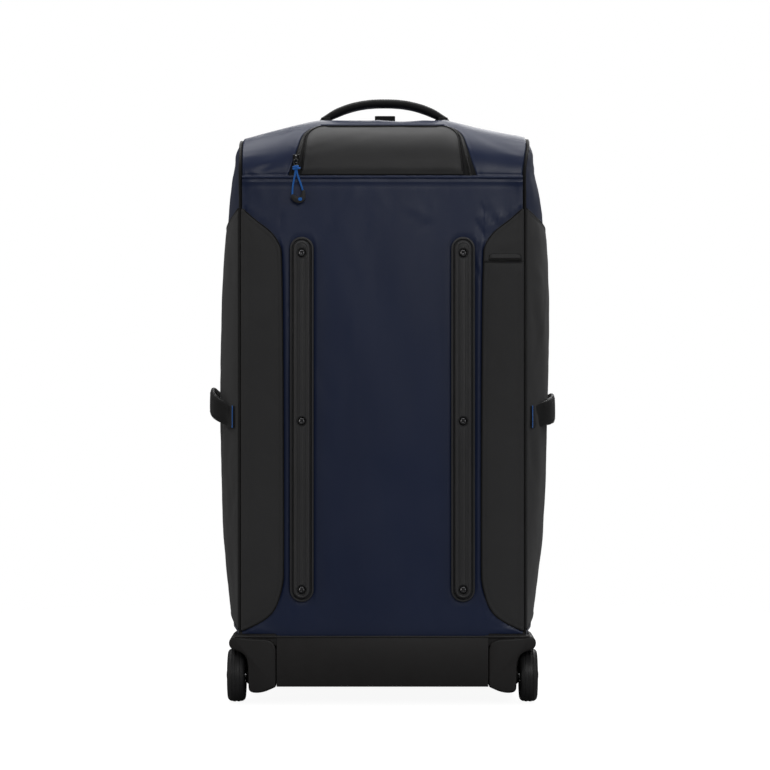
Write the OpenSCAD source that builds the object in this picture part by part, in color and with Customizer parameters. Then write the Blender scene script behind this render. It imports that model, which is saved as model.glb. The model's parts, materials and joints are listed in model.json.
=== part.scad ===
// Large rolling duffel bag: a soft body on a plastic base with two wheels, skid rails on
// its back, a telescopic trolley handle under a zipped flap and a U-shaped front lid.
// Frame: X across the bag, back face towards -Y, Z up, floor at Z = 0.

/* [Body] */
// Distance between the two piped side seams
body_w = 382; // [372:1:400]
// Depth from the back face to the front face
body_d = 300; // [290:1:310]
// Height of the crest above the floor
body_h = 790; // [770:1:800]
// How far each side panel bulges beyond its seam
side_bulge = 28; // [16:1:29]
// How far the crest drops from its middle to the side seams
crest_drop = 30; // [20:1:34]
// Thickness of a padded fabric panel
panel_t = 4; // [3:0.5:4]

/* [Skid rails] */
// Distance of each rail's middle from the middle of the back
rail_x = 108; // [106:1:114]
// Width of a rail
rail_w = 32; // [26:1:32]
// Height of a rail's lower end
rail_bottom = 137; // [125:1:145]
// Height of a rail's upper end
rail_top = 626; // [610:1:640]

/* [Wheels] */
// Radius of a wheel over its tyre
wheel_r = 36; // [34:0.5:36]
// Width of a wheel
wheel_w = 22.6; // [20:0.1:23]
// Distance of each wheel's middle from the middle of the bag
wheel_x = 196; // [195:0.5:197]

/* [Trolley handle] */
// Distance of each tube from the middle of the bag
tube_x = 78; // [74:1:79]
// Depth of the tubes' axes
tube_y = -123; // [-124:0.5:-122]
// Travel of each telescopic stage
stage_travel = 190; // [120:1:200]

/* [Front lid] */
// Half of the lid's width
lid_half = 150; // [140:1:151]
// Height of the lid's fabric hinge
lid_bottom = 140; // [130:1:160]
// Height of the lid's upper edge
lid_top = 700; // [680:1:702]
// Radius of the lid's two upper corners
lid_corner = 60; // [40:1:80]
// How far the lid stands out in its middle
lid_crown = 8.4; // [5:0.1:8.4]

/* [Hidden] */
$fn = 48;

// Body
half_w = body_w / 2;
back_y = -body_d / 2;
front_y = body_d / 2;
band_half = half_w - 3;
back_r = 84;
front_r = 80;
back_bend_y = back_y + back_r;
back_bend_z = body_h - back_r;
front_bend_y = front_y - front_r;
front_bend_z = body_h - front_r;
level_half = 85;
seam_inset = 6.5;
side_low = 96;
side_high = body_h - crest_drop - seam_inset;
side_middle = 400;
side_reach = 355;
overlay_low = 115;
overlay_high = 660;
overlay_gap = 0.8;
overlay_t = 1.5;
wing_t = 1.5;

// Flap over the stowed handle, in degrees up the back bend
flap_top = 60;
flap_round_from = 42;
flap_half = 104;
flap_flare = 6;
flap_top_half = 79;
flap_t = 3;
strip_top = 63.5;
strip_spread = 13;
strip_least = 4;
sew_gap = 0.4;
flap_angles = [0, 6, 12, 18, 24, 30, 36, 42, 47, 51, 54, 56.5, 58.5, 59.5, flap_top];

// Base
base_y = back_y - 8;
shell_low = 24;
shell_high = 92;
shell_wall = 3.5;
housing_in = 142;
housing_out = 183.5;
housing_far = 206;
housing_front = -72;
wheel_y = -120;
axle_r = 3.95;
bearing_bore_r = 4;
bearing_r = 11;
bearing_w = 7;
hub_r = 28;

// Rails
rail_back = back_y - 10.5;
screw_heights = [rail_bottom + 16.5, (rail_bottom + rail_top) / 2 - 2.5, rail_top - 22];
screw_r = 2;
screw_hole_r = 2.2;
screw_head_r = 5;

// Trolley
outer_tube = [10, 8.8];
middle_tube = [8.3, 7.4];
inner_tube = [6.7, 5.6];
fit = 0.05;
bezel_z = 690;
outer_top = 692;
collar_h = 7;
middle_top = 700;
grip_low = 707;
bar_low = 722;
bar_high = 746;
grip_half = 90;
grip_half_d = 11;
pin_z = 150;

// Handles
top_handle_y = -58;
top_handle_z = 796;
top_handle_half = 80;
top_handle_rise = 24;
side_handle_x = 217.5;
side_handle_z = 384;
side_handle_half = 116;
side_handle_rise = 20;
pivot_r = 5;

// Pull cord on the flap's zip slider
cord_r = 1.25;
slider_angle = 18;
slider_x = -116;
cord_left = [[-116.3, -155.4, 715], [-116.7, -155.5, 711], [-117.5, -155.8, 706],
    [-118.8, -156, 700], [-119.8, -156, 694], [-120.4, -156, 688], [-120.7, -156, 679.5]];
cord_right = [[-114.7, -155.4, 715], [-114.2, -155.5, 711], [-112.8, -155.8, 706],
    [-110.6, -156, 700], [-108.4, -156, 694], [-106.6, -156, 688], [-105.2, -156, 681]];

// How far the crest has dropped at a place across the bag
function drop(x) = crest_drop * pow(max(0, (abs(x) - level_half) / (half_w - level_half)), 1.15);

// A point of the back, top and front band: s runs 0 to 1 over the back bend, 1 to 2 along
// the crest and 2 to 3 down the front bend, and d is the depth below the outside
function band(s, x, d) =
    s <= 1 ? [x, back_bend_y - (back_r - d) * cos(90 * s),
        back_bend_z + (back_r - drop(x) - d) * sin(90 * s)]
    : s <= 2 ? [x, back_bend_y + (s - 1) * (front_bend_y - back_bend_y), body_h - drop(x) - d]
    : [x, front_bend_y + (front_r - d) * cos(90 * (3 - s)),
        front_bend_z + (front_r - drop(x) - d) * sin(90 * (3 - s))];

// Half widths of the flap and of the zip strip round it, at an angle up the back bend
function flap_edge(a) = a <= flap_round_from
    ? flap_half + flap_flare * max(0, 1 - a / 45)
    : flap_top_half + (flap_half - flap_top_half)
        * sqrt(max(0, 1 - pow((a - flap_round_from) / (flap_top - flap_round_from), 2)));
function strip_edge(a) = flap_edge(min(a, flap_top)) + strip_least
    + strip_spread * pow(max(0, 1 - a / flap_top), 1.5);

// Front and back edges of a side panel at a height, and how far it bulges
function bend_edge(z, bend_z, r) =
    (r - seam_inset) * sqrt(max(0, 1 - pow(max(0, z - bend_z) / (side_high - bend_z), 2)));
function side_back(z) = back_bend_y - bend_edge(z, back_bend_z, back_r);
function side_front(z) = front_bend_y + bend_edge(z, front_bend_z, front_r);
function bulge(z) = side_bulge * max(0, 1 - pow(abs(z - side_middle) / side_reach, 2.2));
function side_x(z, v) = half_w + 1 + bulge(z) * (1 - pow(abs(v), 2.4));
function side_point(z, v, d) = [side_x(z, v) - d,
    (side_front(z) + side_back(z)) / 2 + v * (side_front(z) - side_back(z)) / 2, z];

// A closed slab between two grids of points of the same size
module slab(outer, inner) {
    rows = len(outer);
    cols = len(outer[0]);
    count = rows * cols;
    points = concat([for (row = outer) each row], [for (row = inner) each row]);
    function at(i, j) = i * cols + j;
    function ring() = concat([for (j = [0:cols - 1]) at(0, j)],
        [for (i = [1:rows - 1]) at(i, cols - 1)],
        [for (j = [cols - 2:-1:0]) at(rows - 1, j)],
        [for (i = [rows - 2:-1:1]) at(i, 0)]);
    edge = ring();
    n = len(edge);
    faces = concat(
        [for (i = [0:rows - 2], j = [0:cols - 2]) each [
            [at(i, j), at(i, j + 1), at(i + 1, j + 1)],
            [at(i, j), at(i + 1, j + 1), at(i + 1, j)]]],
        [for (i = [0:rows - 2], j = [0:cols - 2]) each [
            [count + at(i, j), count + at(i + 1, j + 1), count + at(i, j + 1)],
            [count + at(i, j), count + at(i + 1, j), count + at(i + 1, j + 1)]]],
        [for (k = [0:n - 1]) each [
            [edge[k], count + edge[k], count + edge[(k + 1) % n]],
            [edge[k], count + edge[(k + 1) % n], edge[(k + 1) % n]]]]);
    polyhedron(points = points, faces = faces, convexity = 6);
}

// A patch of the band between two depths; each stop is [s, least x, greatest x]
module band_patch(stops, depths, steps) {
    function x(p, j) = p[2] + (p[1] - p[2]) * j / steps;
    outer = [for (p = stops) [for (j = [0:steps]) band(p[0], x(p, j), depths[0])]];
    inner = [for (p = stops) [for (j = [0:steps]) band(p[0], x(p, j), depths[1])]];
    slab(outer, inner);
}

// A patch of the right-hand side panel between two depths
module side_patch(heights, depths, steps) {
    outer = [for (z = heights) [for (j = [0:steps]) side_point(z, 1 - 2 * j / steps, depths[0])]];
    inner = [for (z = heights) [for (j = [0:steps]) side_point(z, 1 - 2 * j / steps, depths[1])]];
    slab(outer, inner);
}

// A tube with flat ends swept along points that stay near one upright plane
module swept_tube(path, r, sides) {
    n = len(path);
    function dir(i) = let (d = path[min(i + 1, n - 1)] - path[max(i - 1, 0)]) d / norm(d);
    function side(i) = let (c = cross(dir(i), [0, 1, 0])) c / norm(c);
    rings = [for (i = [0:n - 1]) let (a = side(i), b = cross(dir(i), a))
        [for (k = [0:sides - 1]) path[i] + r * (a * cos(360 * k / sides)
            + b * sin(360 * k / sides))]];
    faces = concat([[for (k = [sides - 1:-1:0]) k]],
        [for (i = [0:n - 2], k = [0:sides - 1]) let (m = (k + 1) % sides)
            [i * sides + k, i * sides + m, (i + 1) * sides + m, (i + 1) * sides + k]],
        [[for (k = [0:sides - 1]) (n - 1) * sides + k]]);
    polyhedron(points = [for (ring = rings) each ring], faces = faces, convexity = 6);
}

module ring(r_out, r_in, h) {
    difference() {
        cylinder(r = r_out, h = h);
        translate([0, 0, -1]) cylinder(r = r_in, h = h + 2);
    }
}

// A rectangle with rounded corners, from its low corner
module round_rect(low, high, r) {
    translate([low[0] + r, low[1]]) square([high[0] - low[0] - 2 * r, high[1] - low[1]]);
    translate([low[0], low[1] + r]) square([high[0] - low[0], high[1] - low[1] - 2 * r]);
    for (x = [low[0] + r, high[0] - r], y = [low[1] + r, high[1] - r])
        translate([x, y]) circle(r = r);
}

// A shape drawn in the XZ plane, made thick from y0 to y1
module upright(y0, y1) {
    translate([0, y1, 0]) rotate([90, 0, 0]) linear_extrude(y1 - y0) children();
}

// A shape drawn in the YZ plane, made thick from x0 to x1
module across(x0, x1) {
    translate([x0, 0, 0]) rotate([90, 0, 90]) linear_extrude(x1 - x0) children();
}

module both_sides() {
    children();
    mirror([1, 0, 0]) children();
}

module rail_screw_places() {
    for (x = [-rail_x, rail_x], z = screw_heights) translate([x, 0, z]) children();
}

module screw_holes(r) {
    rail_screw_places() rotate([90, 0, 0]) cylinder(r = r, h = 400, center = true);
}

// ---- Fabric body

module back_panel() {
    color("midnightblue") difference() {
        upright(back_y, back_y + panel_t) {
            translate([-band_half, side_low]) square([2 * band_half, back_bend_z - side_low]);
            translate([-137, 60]) square([274, side_low - 60 + 1]);
        }
        screw_holes(screw_hole_r);
    }
}

module back_wings() {
    color([0.17, 0.17, 0.17]) both_sides() upright(back_y - wing_t - 0.1, back_y - 0.1)
        polygon([[132, 175], [134, 157], [142, 130], [153, 116], [170, 106], [band_half, 98],
            [band_half, 664], [170, 648], [156, 638], [147, 630], [139, 618], [134, 603]]);
}

module side_panel_right() {
    heights = concat([for (i = [0:15]) side_low + i * (back_bend_z - side_low) / 15],
        [for (k = [1:6]) back_bend_z + (side_high - back_bend_z) * sin(15 * k)]);
    color([0.13, 0.15, 0.22]) side_patch(heights, [0, panel_t], 16);
}

module side_panel_left() {
    mirror([1, 0, 0]) side_panel_right();
}

module side_overlays() {
    heights = [for (i = [0:18]) overlay_low + i * (overlay_high - overlay_low) / 18];
    color([0.16, 0.16, 0.16]) both_sides()
        side_patch(heights, [-overlay_gap - overlay_t, -overlay_gap], 16);
}

module back_shoulders() {
    stops = [for (a = concat(flap_angles, [strip_top]))
        [a / 90, strip_edge(a) + sew_gap, band_half]];
    color("midnightblue") both_sides() band_patch(stops, [0, panel_t], 6);
}

module top_panel() {
    stops = [for (s = [strip_top / 90 + 0.006, 0.8, 0.9, 1, 1.33, 1.67, 2, 2.15, 2.3, 2.45, 2.6])
        [s, -band_half, band_half]];
    color([0.2, 0.22, 0.3]) band_patch(stops, [0, panel_t], 24);
}

module lid_outline(grow) {
    low = [-lid_half - grow, lid_bottom - 2 * lid_corner];
    high = [lid_half + grow, lid_top + grow];
    round_rect(low, high, lid_corner + grow);
}

module front_top() {
    stops = [for (s = [2.605, 2.7, 2.8, 2.9, 3]) [s, -band_half, band_half]];
    color("midnightblue") {
        band_patch(stops, [0, panel_t], 24);
        difference() {
            upright(front_y - panel_t, front_y) translate([-band_half, 640])
                square([2 * band_half, front_bend_z - 640 - 0.01]);
            upright(front_y - 10, front_y + 10) lid_outline(9);
        }
    }
}

module front_wings() {
    color([0.17, 0.17, 0.17]) both_sides() upright(front_y - panel_t, front_y)
        translate([lid_half + 9, lid_bottom]) square([band_half - lid_half - 9, 499.9]);
}

module front_base() {
    color("midnightblue") upright(front_y - panel_t, front_y)
        translate([-band_half, 95]) square([2 * band_half, lid_bottom - 95.5]);
}

module floor_board() {
    color([0.1, 0.1, 0.1]) translate([0, 0, shell_low + 4.2]) linear_extrude(2.5) {
        translate([-138, -145]) square([276, 288]);
        translate([-182, -60]) square([364, 203]);
    }
}

module piping() {
    run = seam_inset / 2;
    corner = [for (z = [102, 200, 300, 400, 500, 600, 690]) [back_y + run, z]];
    up = [for (a = [0:10:80]) [back_bend_y - (back_r - run) * cos(a),
        back_bend_z + (back_r - crest_drop - run) * sin(a)]];
    level = [for (t = [0:3]) [back_bend_y + t / 3 * (front_bend_y - back_bend_y),
        body_h - crest_drop - run]];
    down = [for (a = [80:-10:0]) [front_bend_y + (front_r - run) * cos(a),
        front_bend_z + (front_r - crest_drop - run) * sin(a)]];
    front = [for (z = [690, 600, 500, 400, 300, 200, 102]) [front_y - run, z]];
    route = concat(corner, up, level, down, front);
    color([0.08, 0.08, 0.08]) both_sides() rotate([0, 0, 90]) translate([0, -half_w, 0])
        swept_tube([for (p = route) [p[0], 0, p[1]]], 2.6, 8);
}

module id_pocket() {
    color([0.17, 0.17, 0.17]) upright(back_y - wing_t - 1.9, back_y - wing_t - 0.2)
        round_rect([144, 593], [184, 602], 1.5);
}

// ---- Skid rails and their fixings

module stadium(w, low, high) {
    translate([0, low + w / 2]) circle(d = w);
    translate([0, high - w / 2]) circle(d = w);
    translate([-w / 2, low + w / 2]) square([w, high - low - w]);
}

module rail_left() {
    color([0.2, 0.2, 0.21]) difference() {
        translate([-rail_x, 0, 0]) union() {
            upright(rail_back + 3.5, back_y - 0.3) stadium(rail_w, rail_bottom, rail_top);
            upright(rail_back, rail_back + 3.6)
                stadium(rail_w - 12, rail_bottom + 6, rail_top - 6);
        }
        screw_holes(screw_hole_r);
        rail_screw_places() translate([0, rail_back, 0]) rotate([90, 0, 0])
            cylinder(r = screw_head_r + 0.6, h = 6, center = true);
    }
}

module rail_right() {
    mirror([1, 0, 0]) rail_left();
}

module rail_screws() {
    color([0.06, 0.06, 0.06]) rail_screw_places() {
        translate([0, rail_back + 2.9, 0]) rotate([90, 0, 0])
            cylinder(r = screw_head_r, h = 2.5);
        translate([0, rail_back + 0.4, 0]) rotate([90, 0, 0])
            cylinder(r1 = screw_head_r, r2 = screw_head_r - 2.2, h = 1.7);
        translate([0, back_y + 12, 0]) rotate([90, 0, 0])
            cylinder(r = screw_r, h = 12 - rail_back + back_y - 2.9);
    }
}

module rail_nuts() {
    color("gray") rail_screw_places() translate([0, back_y + 11.5, 0]) rotate([90, 0, 0])
        difference() {
            cylinder(r = 4.4, h = 3.6, $fn = 6);
            translate([0, 0, -1]) cylinder(r = screw_r + 0.05, h = 6);
        }
}

module backing_board() {
    color([0.1, 0.1, 0.1]) difference() {
        upright(back_y + panel_t + 0.3, back_y + panel_t + 3)
            round_rect([-132, 66], [132, 684], 12);
        screw_holes(screw_hole_r);
    }
}

// ---- Base, wheels and feet

module shell_plan(inset) {
    difference() {
        round_rect([-half_w + 1 + inset, base_y + inset], [half_w - 1 - inset, front_y + 2 - inset],
            22 - inset);
        both_sides() translate([housing_in - 0.5 - inset, base_y - 10])
            square([80, housing_front - base_y + 10.5 + inset]);
    }
}

module bottom_shell() {
    color([0.14, 0.14, 0.14]) difference() {
        translate([0, 0, shell_low]) linear_extrude(shell_high - shell_low) shell_plan(0);
        translate([0, 0, shell_low + 4]) linear_extrude(80) shell_plan(shell_wall);
        base_screw_places() translate([0, 0, -1]) cylinder(r = screw_r + 0.1, h = 60);
    }
}

module wheel_housing_right() {
    color([0.11, 0.11, 0.11]) difference() {
        union() {
            across(housing_in, housing_out)
                round_rect([base_y, 15], [housing_front, 90], 18);
            across(housing_in + 8, housing_far)
                round_rect([base_y, 50], [housing_front, 94], 16);
        }
        translate([housing_out + 0.1, wheel_y, wheel_r]) rotate([0, 90, 0])
            cylinder(r = wheel_r + 3.5, h = 60);
        translate([100, wheel_y, wheel_r]) rotate([0, 90, 0])
            cylinder(r = bearing_bore_r, h = 160);
        translate([housing_in - 1, wheel_y, wheel_r]) rotate([0, 90, 0])
            cylinder(r = 9, h = 9);
    }
}

module wheel_housing_left() {
    mirror([1, 0, 0]) wheel_housing_right();
}

module base_screw_places() {
    for (x = [-120, 120], y = [-50, 60]) translate([x, y, 0]) children();
}

module base_screws() {
    color([0.06, 0.06, 0.06]) base_screw_places() {
        translate([0, 0, shell_low - 2.2]) cylinder(r = 4, h = 2.1);
        translate([0, 0, shell_low - 0.2]) cylinder(r = screw_r, h = 4.2);
    }
}

module axles() {
    color("silver") both_sides() translate([0, wheel_y, wheel_r]) rotate([0, 90, 0]) {
        translate([0, 0, housing_in + 2]) cylinder(r = 6.5, h = 5.9);
        translate([0, 0, housing_in + 7]) cylinder(r = axle_r, h = 60);
        translate([0, 0, wheel_x + wheel_w / 2 + 1]) cylinder(r = 7.5, h = 1.6);
        translate([0, 0, wheel_x + wheel_w / 2 + 2.5]) cylinder(r1 = 7.5, r2 = 4.5, h = 1.4);
        translate([0, 0, wheel_x]) cylinder(r = axle_r, h = wheel_w / 2 + 1.5);
    }
}

module front_feet() {
    color([0.12, 0.12, 0.12]) both_sides() {
        translate([110, 112, 5]) linear_extrude(shell_low - 5.05)
            round_rect([-34, -14], [34, 14], 13);
        translate([110, 112, 0]) linear_extrude(5.01) round_rect([-30, -10], [30, 10], 9.9);
    }
}

module wheel_place(side) {
    translate([side * wheel_x, wheel_y, wheel_r]) rotate([0, 90, 0]) children();
}

module tyre() {
    shoulder = (wheel_r - hub_r) / 2;
    color([0.13, 0.13, 0.13]) rotate_extrude($fn = 96) {
        translate([hub_r, -wheel_w / 2]) square([wheel_r - shoulder - hub_r, wheel_w]);
        translate([hub_r, -wheel_w / 2 + shoulder])
            square([wheel_r - hub_r, wheel_w - 2 * shoulder]);
        for (z = [-1, 1]) translate([wheel_r - shoulder, z * (wheel_w / 2 - shoulder)])
            circle(r = shoulder);
    }
}

module hub() {
    web = 3;
    color([0.3, 0.3, 0.31]) difference() {
        translate([0, 0, -wheel_w / 2 + 0.2]) cylinder(r = hub_r - 0.05, h = wheel_w - 0.4);
        translate([0, 0, -wheel_w]) cylinder(r = bearing_r + 0.02, h = 2 * wheel_w);
        for (side = [-1, 1]) translate([0, 0, side * (wheel_w / 2 + web)])
            rotate_extrude() translate([bearing_r + 4, -5.5]) square([9, 11]);
    }
}

module bearings() {
    color("silver") for (z = [-wheel_w / 2 + 0.6, wheel_w / 2 - 0.6 - bearing_w])
        translate([0, 0, z]) ring(bearing_r, bearing_bore_r, bearing_w);
}

// ---- Trolley handle

module at_tubes() {
    for (side = [-1, 1]) translate([side * tube_x, tube_y, 0]) children();
}

module tube_pair(radii, low, high) {
    at_tubes() translate([0, 0, low]) ring(radii[0], radii[1], high - low);
}

module outer_tubes() {
    color("silver") tube_pair(outer_tube, 62, outer_top);
}

module tube_collars() {
    color([0.1, 0.1, 0.1]) tube_pair([12, middle_tube[0] + fit], outer_top + 0.02,
        outer_top + collar_h);
}

module handle_bezel() {
    color([0.12, 0.12, 0.12]) difference() {
        translate([0, 0, bezel_z]) linear_extrude(5)
            round_rect([-104, tube_y - 15], [104, tube_y + 13], 10);
        at_tubes() translate([0, 0, bezel_z - 1]) cylinder(r = 12.1, h = 9);
    }
}

module tube_bracket() {
    color([0.12, 0.12, 0.12]) difference() {
        translate([-96, tube_y - 17, shell_low + 7]) cube([192, 32, 66]);
        at_tubes() translate([0, 0, 61.9]) cylinder(r = outer_tube[0] + 0.05, h = 60);
    }
}

module middle_tubes() {
    color("silver") tube_pair(middle_tube, 90, middle_top);
}

module middle_collars() {
    color([0.1, 0.1, 0.1]) tube_pair([10, inner_tube[0] + fit], middle_top + 0.02,
        middle_top + 6);
}

module inner_tubes() {
    color("silver") difference() {
        tube_pair(inner_tube, 120, bar_low);
        at_tubes() translate([0, 0, pin_z]) rotate([90, 0, 0]) cylinder(r = 2.06, h = 20);
    }
}

module grip() {
    color([0.14, 0.14, 0.14]) difference() {
        union() {
            translate([0, tube_y, bar_low]) linear_extrude(bar_high - bar_low)
                round_rect([-grip_half, -grip_half_d], [grip_half, grip_half_d], 8);
            at_tubes() translate([0, 0, grip_low]) cylinder(r = grip_half_d, h = 20);
        }
        at_tubes() translate([0, 0, grip_low - 1])
            cylinder(r = inner_tube[0] + fit, h = bar_low - grip_low + 1.02);
        at_tubes() translate([0, 0, grip_low]) cylinder(r = 5, h = 30);
        translate([-84, tube_y - 4, bar_low + 4.5]) cube([168, 8, 12.5]);
        translate([0, tube_y, bar_low + 10]) linear_extrude(30)
            round_rect([-16, -6.5], [16, 6.5], 5);
        translate([0, tube_y, bar_low + 1.5]) cylinder(r = 4.5, h = 10);
    }
}

module button_spring() {
    color("silver") translate([0, tube_y, bar_low + 1.6]) difference() {
        cylinder(r = 3.8, h = 8.2);
        translate([0, 0, -1]) cylinder(r = 2.8, h = 12);
    }
}

module grip_button() {
    color([0.25, 0.25, 0.26]) translate([0, tube_y, bar_low + 15.1]) linear_extrude(10.9)
        round_rect([-15.6, -6.1], [15.6, 6.1], 4.7);
}

module push_rods() {
    yoke = bar_low + 10;
    color("silver") {
        at_tubes() translate([0, 0, pin_z + 8]) cylinder(r = 2.5, h = yoke - pin_z - 7.9);
        translate([-81, tube_y - 2.5, yoke]) cube([162, 5, 5]);
    }
}

module lock_pins() {
    color("silver") at_tubes() translate([0, 2, pin_z]) rotate([90, 0, 0])
        cylinder(r = 2, h = 9);
}

module garage_liner() {
    color([0.1, 0.11, 0.15]) upright(-108, -106.5) round_rect([-126, 66], [126, 770], 20);
}

// ---- Flap over the handle, its zip and the pull cord

module flap_outline_patch(depths, inset) {
    stops = [for (a = flap_angles) [max(a, 0.5) / 90, -flap_edge(a) + inset, flap_edge(a) - inset]];
    band_patch(stops, depths, 12);
}

module handle_flap() {
    color([0.3, 0.3, 0.31]) flap_outline_patch([0, flap_t], sew_gap);
}

module flap_zip() {
    legs = [for (a = flap_angles) [a / 90, flap_edge(a) + sew_gap, strip_edge(a)]];
    cross_half = strip_edge(flap_top);
    color([0.16, 0.15, 0.15]) {
        both_sides() band_patch(legs, [0.6, 3.4], 2);
        band_patch([for (a = [flap_top + 0.7, flap_top + 2, strip_top])
            [a / 90, -cross_half, cross_half]], [0.6, 3.4], 8);
    }
}

module flap_slider() {
    place = band(slider_angle / 90, slider_x, 0);
    color([0.06, 0.06, 0.06]) translate(place) rotate([-slider_angle + 90, 0, 0])
        linear_extrude(4.5) round_rect([-4, -9], [4, 7], 2.5);
    color([0.06, 0.06, 0.06]) translate([slider_x, -155.4, 715]) rotate([0, 90, 0])
        cylinder(r = 2.6, h = 5, center = true);
}

module pull_cord_left() {
    color([0.1, 0.39, 0.75]) swept_tube(cord_left, cord_r, 8);
}

module pull_cord_right() {
    color([0.1, 0.39, 0.75]) swept_tube(cord_right, cord_r, 8);
}

module pull_tab() {
    color([0.14, 0.14, 0.14]) upright(-157.5, -154.5) difference() {
        polygon([[-123, 681.9], [-123, 677], [-115, 668.5], [-110, 668.5], [-102.5, 675],
            [-103, 683.9], [-107.5, 683.9], [-107.5, 678], [-112, 674], [-118.5, 679],
            [-118.5, 681.9]]);
    }
}

// ---- Front lid

function lid_edge(z) = z <= lid_top - lid_corner ? lid_half
    : lid_half - lid_corner + sqrt(max(0, pow(lid_corner, 2) - pow(z - lid_top + lid_corner, 2)));

module lid_panel() {
    rise = lid_top - lid_corner;
    heights = concat([for (t = [0, 0.5, 1, 2, 3, 5, 8, 12, 16, 18, 20])
        lid_bottom + t / 20 * (rise - lid_bottom)],
        [for (a = [12, 24, 36, 48, 60, 70, 80, 88]) rise + lid_corner * sin(a)]);
    across_steps = 18;
    function u(j) = sin(90 * (2 * j / across_steps - 1));
    function v(z) = 2 * (z - lid_bottom) / (lid_top - lid_bottom) - 1;
    function crown(z, j) = lid_crown * (1 - pow(abs(u(j)), 6)) * (1 - pow(abs(v(z)), 6));
    outer = [for (z = heights) [for (j = [0:across_steps])
        [u(j) * lid_edge(z), front_y + crown(z, j), z]]];
    inner = [for (z = heights) [for (j = [0:across_steps])
        [u(j) * lid_edge(z), front_y - panel_t + 0.8 * crown(z, j), z]]];
    color([0.12, 0.14, 0.2]) slab(outer, inner);
}

module lid_zip() {
    color([0.07, 0.07, 0.07]) upright(front_y - 3.5, front_y - 0.5) difference() {
        intersection() {
            lid_outline(8.6);
            translate([-300, lid_bottom]) square([600, 700]);
        }
        lid_outline(0.5);
    }
}

module lid_slider_right() {
    color([0.06, 0.06, 0.06]) {
        upright(front_y + 0.4, front_y + 5) round_rect([lid_half + 1, 600], [lid_half + 9, 616], 2.5);
        upright(front_y + 4.9, front_y + 8) round_rect([lid_half + 2, 566], [lid_half + 8, 610], 2.8);
    }
}

module lid_slider_left() {
    mirror([1, 0, 0]) lid_slider_right();
}

module pocket_slider() {
    low_y = front_y + lid_crown + 0.4;
    color([0.06, 0.06, 0.06]) {
        upright(low_y, low_y + 1.8) round_rect([-108, 546], [-94, 554], 2.5);
        upright(low_y + 1.7, low_y + 3) round_rect([-104, 516], [-98, 552], 2.8);
    }
}

// ---- Carry handles

function arch(u, rise) = rise * (1 - u * u);

module arch_outline(half, rise, thick, base) {
    inner_u = sqrt(1 - thick / rise);
    polygon(concat([for (k = [-12:12]) [half * k / 12, base + arch(k / 12, rise)]],
        [for (k = [10:-1:-10]) let (u = inner_u * k / 10)
            [half * u, base + arch(u, rise) - thick]]));
}

module top_handle() {
    color([0.15, 0.15, 0.15]) {
        intersection() {
            upright(top_handle_y - 30, top_handle_y + 30)
                arch_outline(top_handle_half - 2, top_handle_rise, 10.5, top_handle_z);
            translate([0, top_handle_y, 700]) linear_extrude(200)
                polygon(concat([for (k = [-10:10]) [8.2 * k, 4.8 + arch(k / 10, 11)]],
                    [for (k = [10:-1:-10]) [8.2 * k, -4.8 - arch(k / 10, 11)]]));
        }
        both_sides() translate([top_handle_half - 12, top_handle_y, top_handle_z])
            rotate([0, 90, 0]) cylinder(r = pivot_r, h = 16);
    }
}

module side_handle_right() {
    side_plan = (side_handle_half - 2) / 10;
    color([0.15, 0.15, 0.15]) {
        intersection() {
            translate([side_handle_x + 2.5, 0, side_handle_z - 30]) linear_extrude(60)
                rotate([0, 0, -90])
                arch_outline(side_handle_half - 4, side_handle_rise, 7, 0);
            translate([300, 0, side_handle_z]) rotate([0, -90, 0]) linear_extrude(200)
                polygon(concat([for (k = [-10:10]) [4.8 + arch(k / 10, 33), side_plan * k]],
                    [for (k = [10:-1:-10]) [-4.8 - arch(k / 10, 2), side_plan * k]]));
        }
        for (y = [-side_handle_half, side_handle_half - 14])
            translate([side_handle_x, y, side_handle_z]) rotate([-90, 0, 0])
            cylinder(r = pivot_r, h = 14);
    }
}

module side_handle_left() {
    mirror([1, 0, 0]) side_handle_right();
}

module handle_patches() {
    heights = [for (z = [-15:7.5:15]) side_handle_z + z];
    depths = [-overlay_gap - overlay_t - 2.2, -overlay_gap - overlay_t - 0.4];
    spots = [for (j = [0:3]) 0.74 + 0.05 * j];
    color([0.12, 0.12, 0.12]) both_sides() {
        translate([72, top_handle_y - 14, body_h + 0.05]) cube([13, 28, 0.8]);
        for (end = [-1, 1]) slab(
            [for (z = heights) [for (j = [0:3]) side_point(z, end * spots[end > 0 ? 3 - j : j],
                depths[0])]],
            [for (z = heights) [for (j = [0:3]) side_point(z, end * spots[end > 0 ? 3 - j : j],
                depths[1])]]);
    }
}

module lash_tabs() {
    color([0.12, 0.12, 0.12]) both_sides() for (z = [190, 632])
        translate([half_w + 6.5, front_y - 14, z - 13]) difference() {
            cube([11, 10, 26]);
            translate([2, -1, 2.5]) cube([7, 12, 21]);
        }
}

module inner_straps() {
    color([0.12, 0.12, 0.12]) for (z = [260, 520]) {
        translate([-120, -106.3, z - 12.5]) cube([240, 1.6, 25]);
        translate([-22, -104.6, z - 16]) cube([44, 7, 32]);
    }
}

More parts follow.
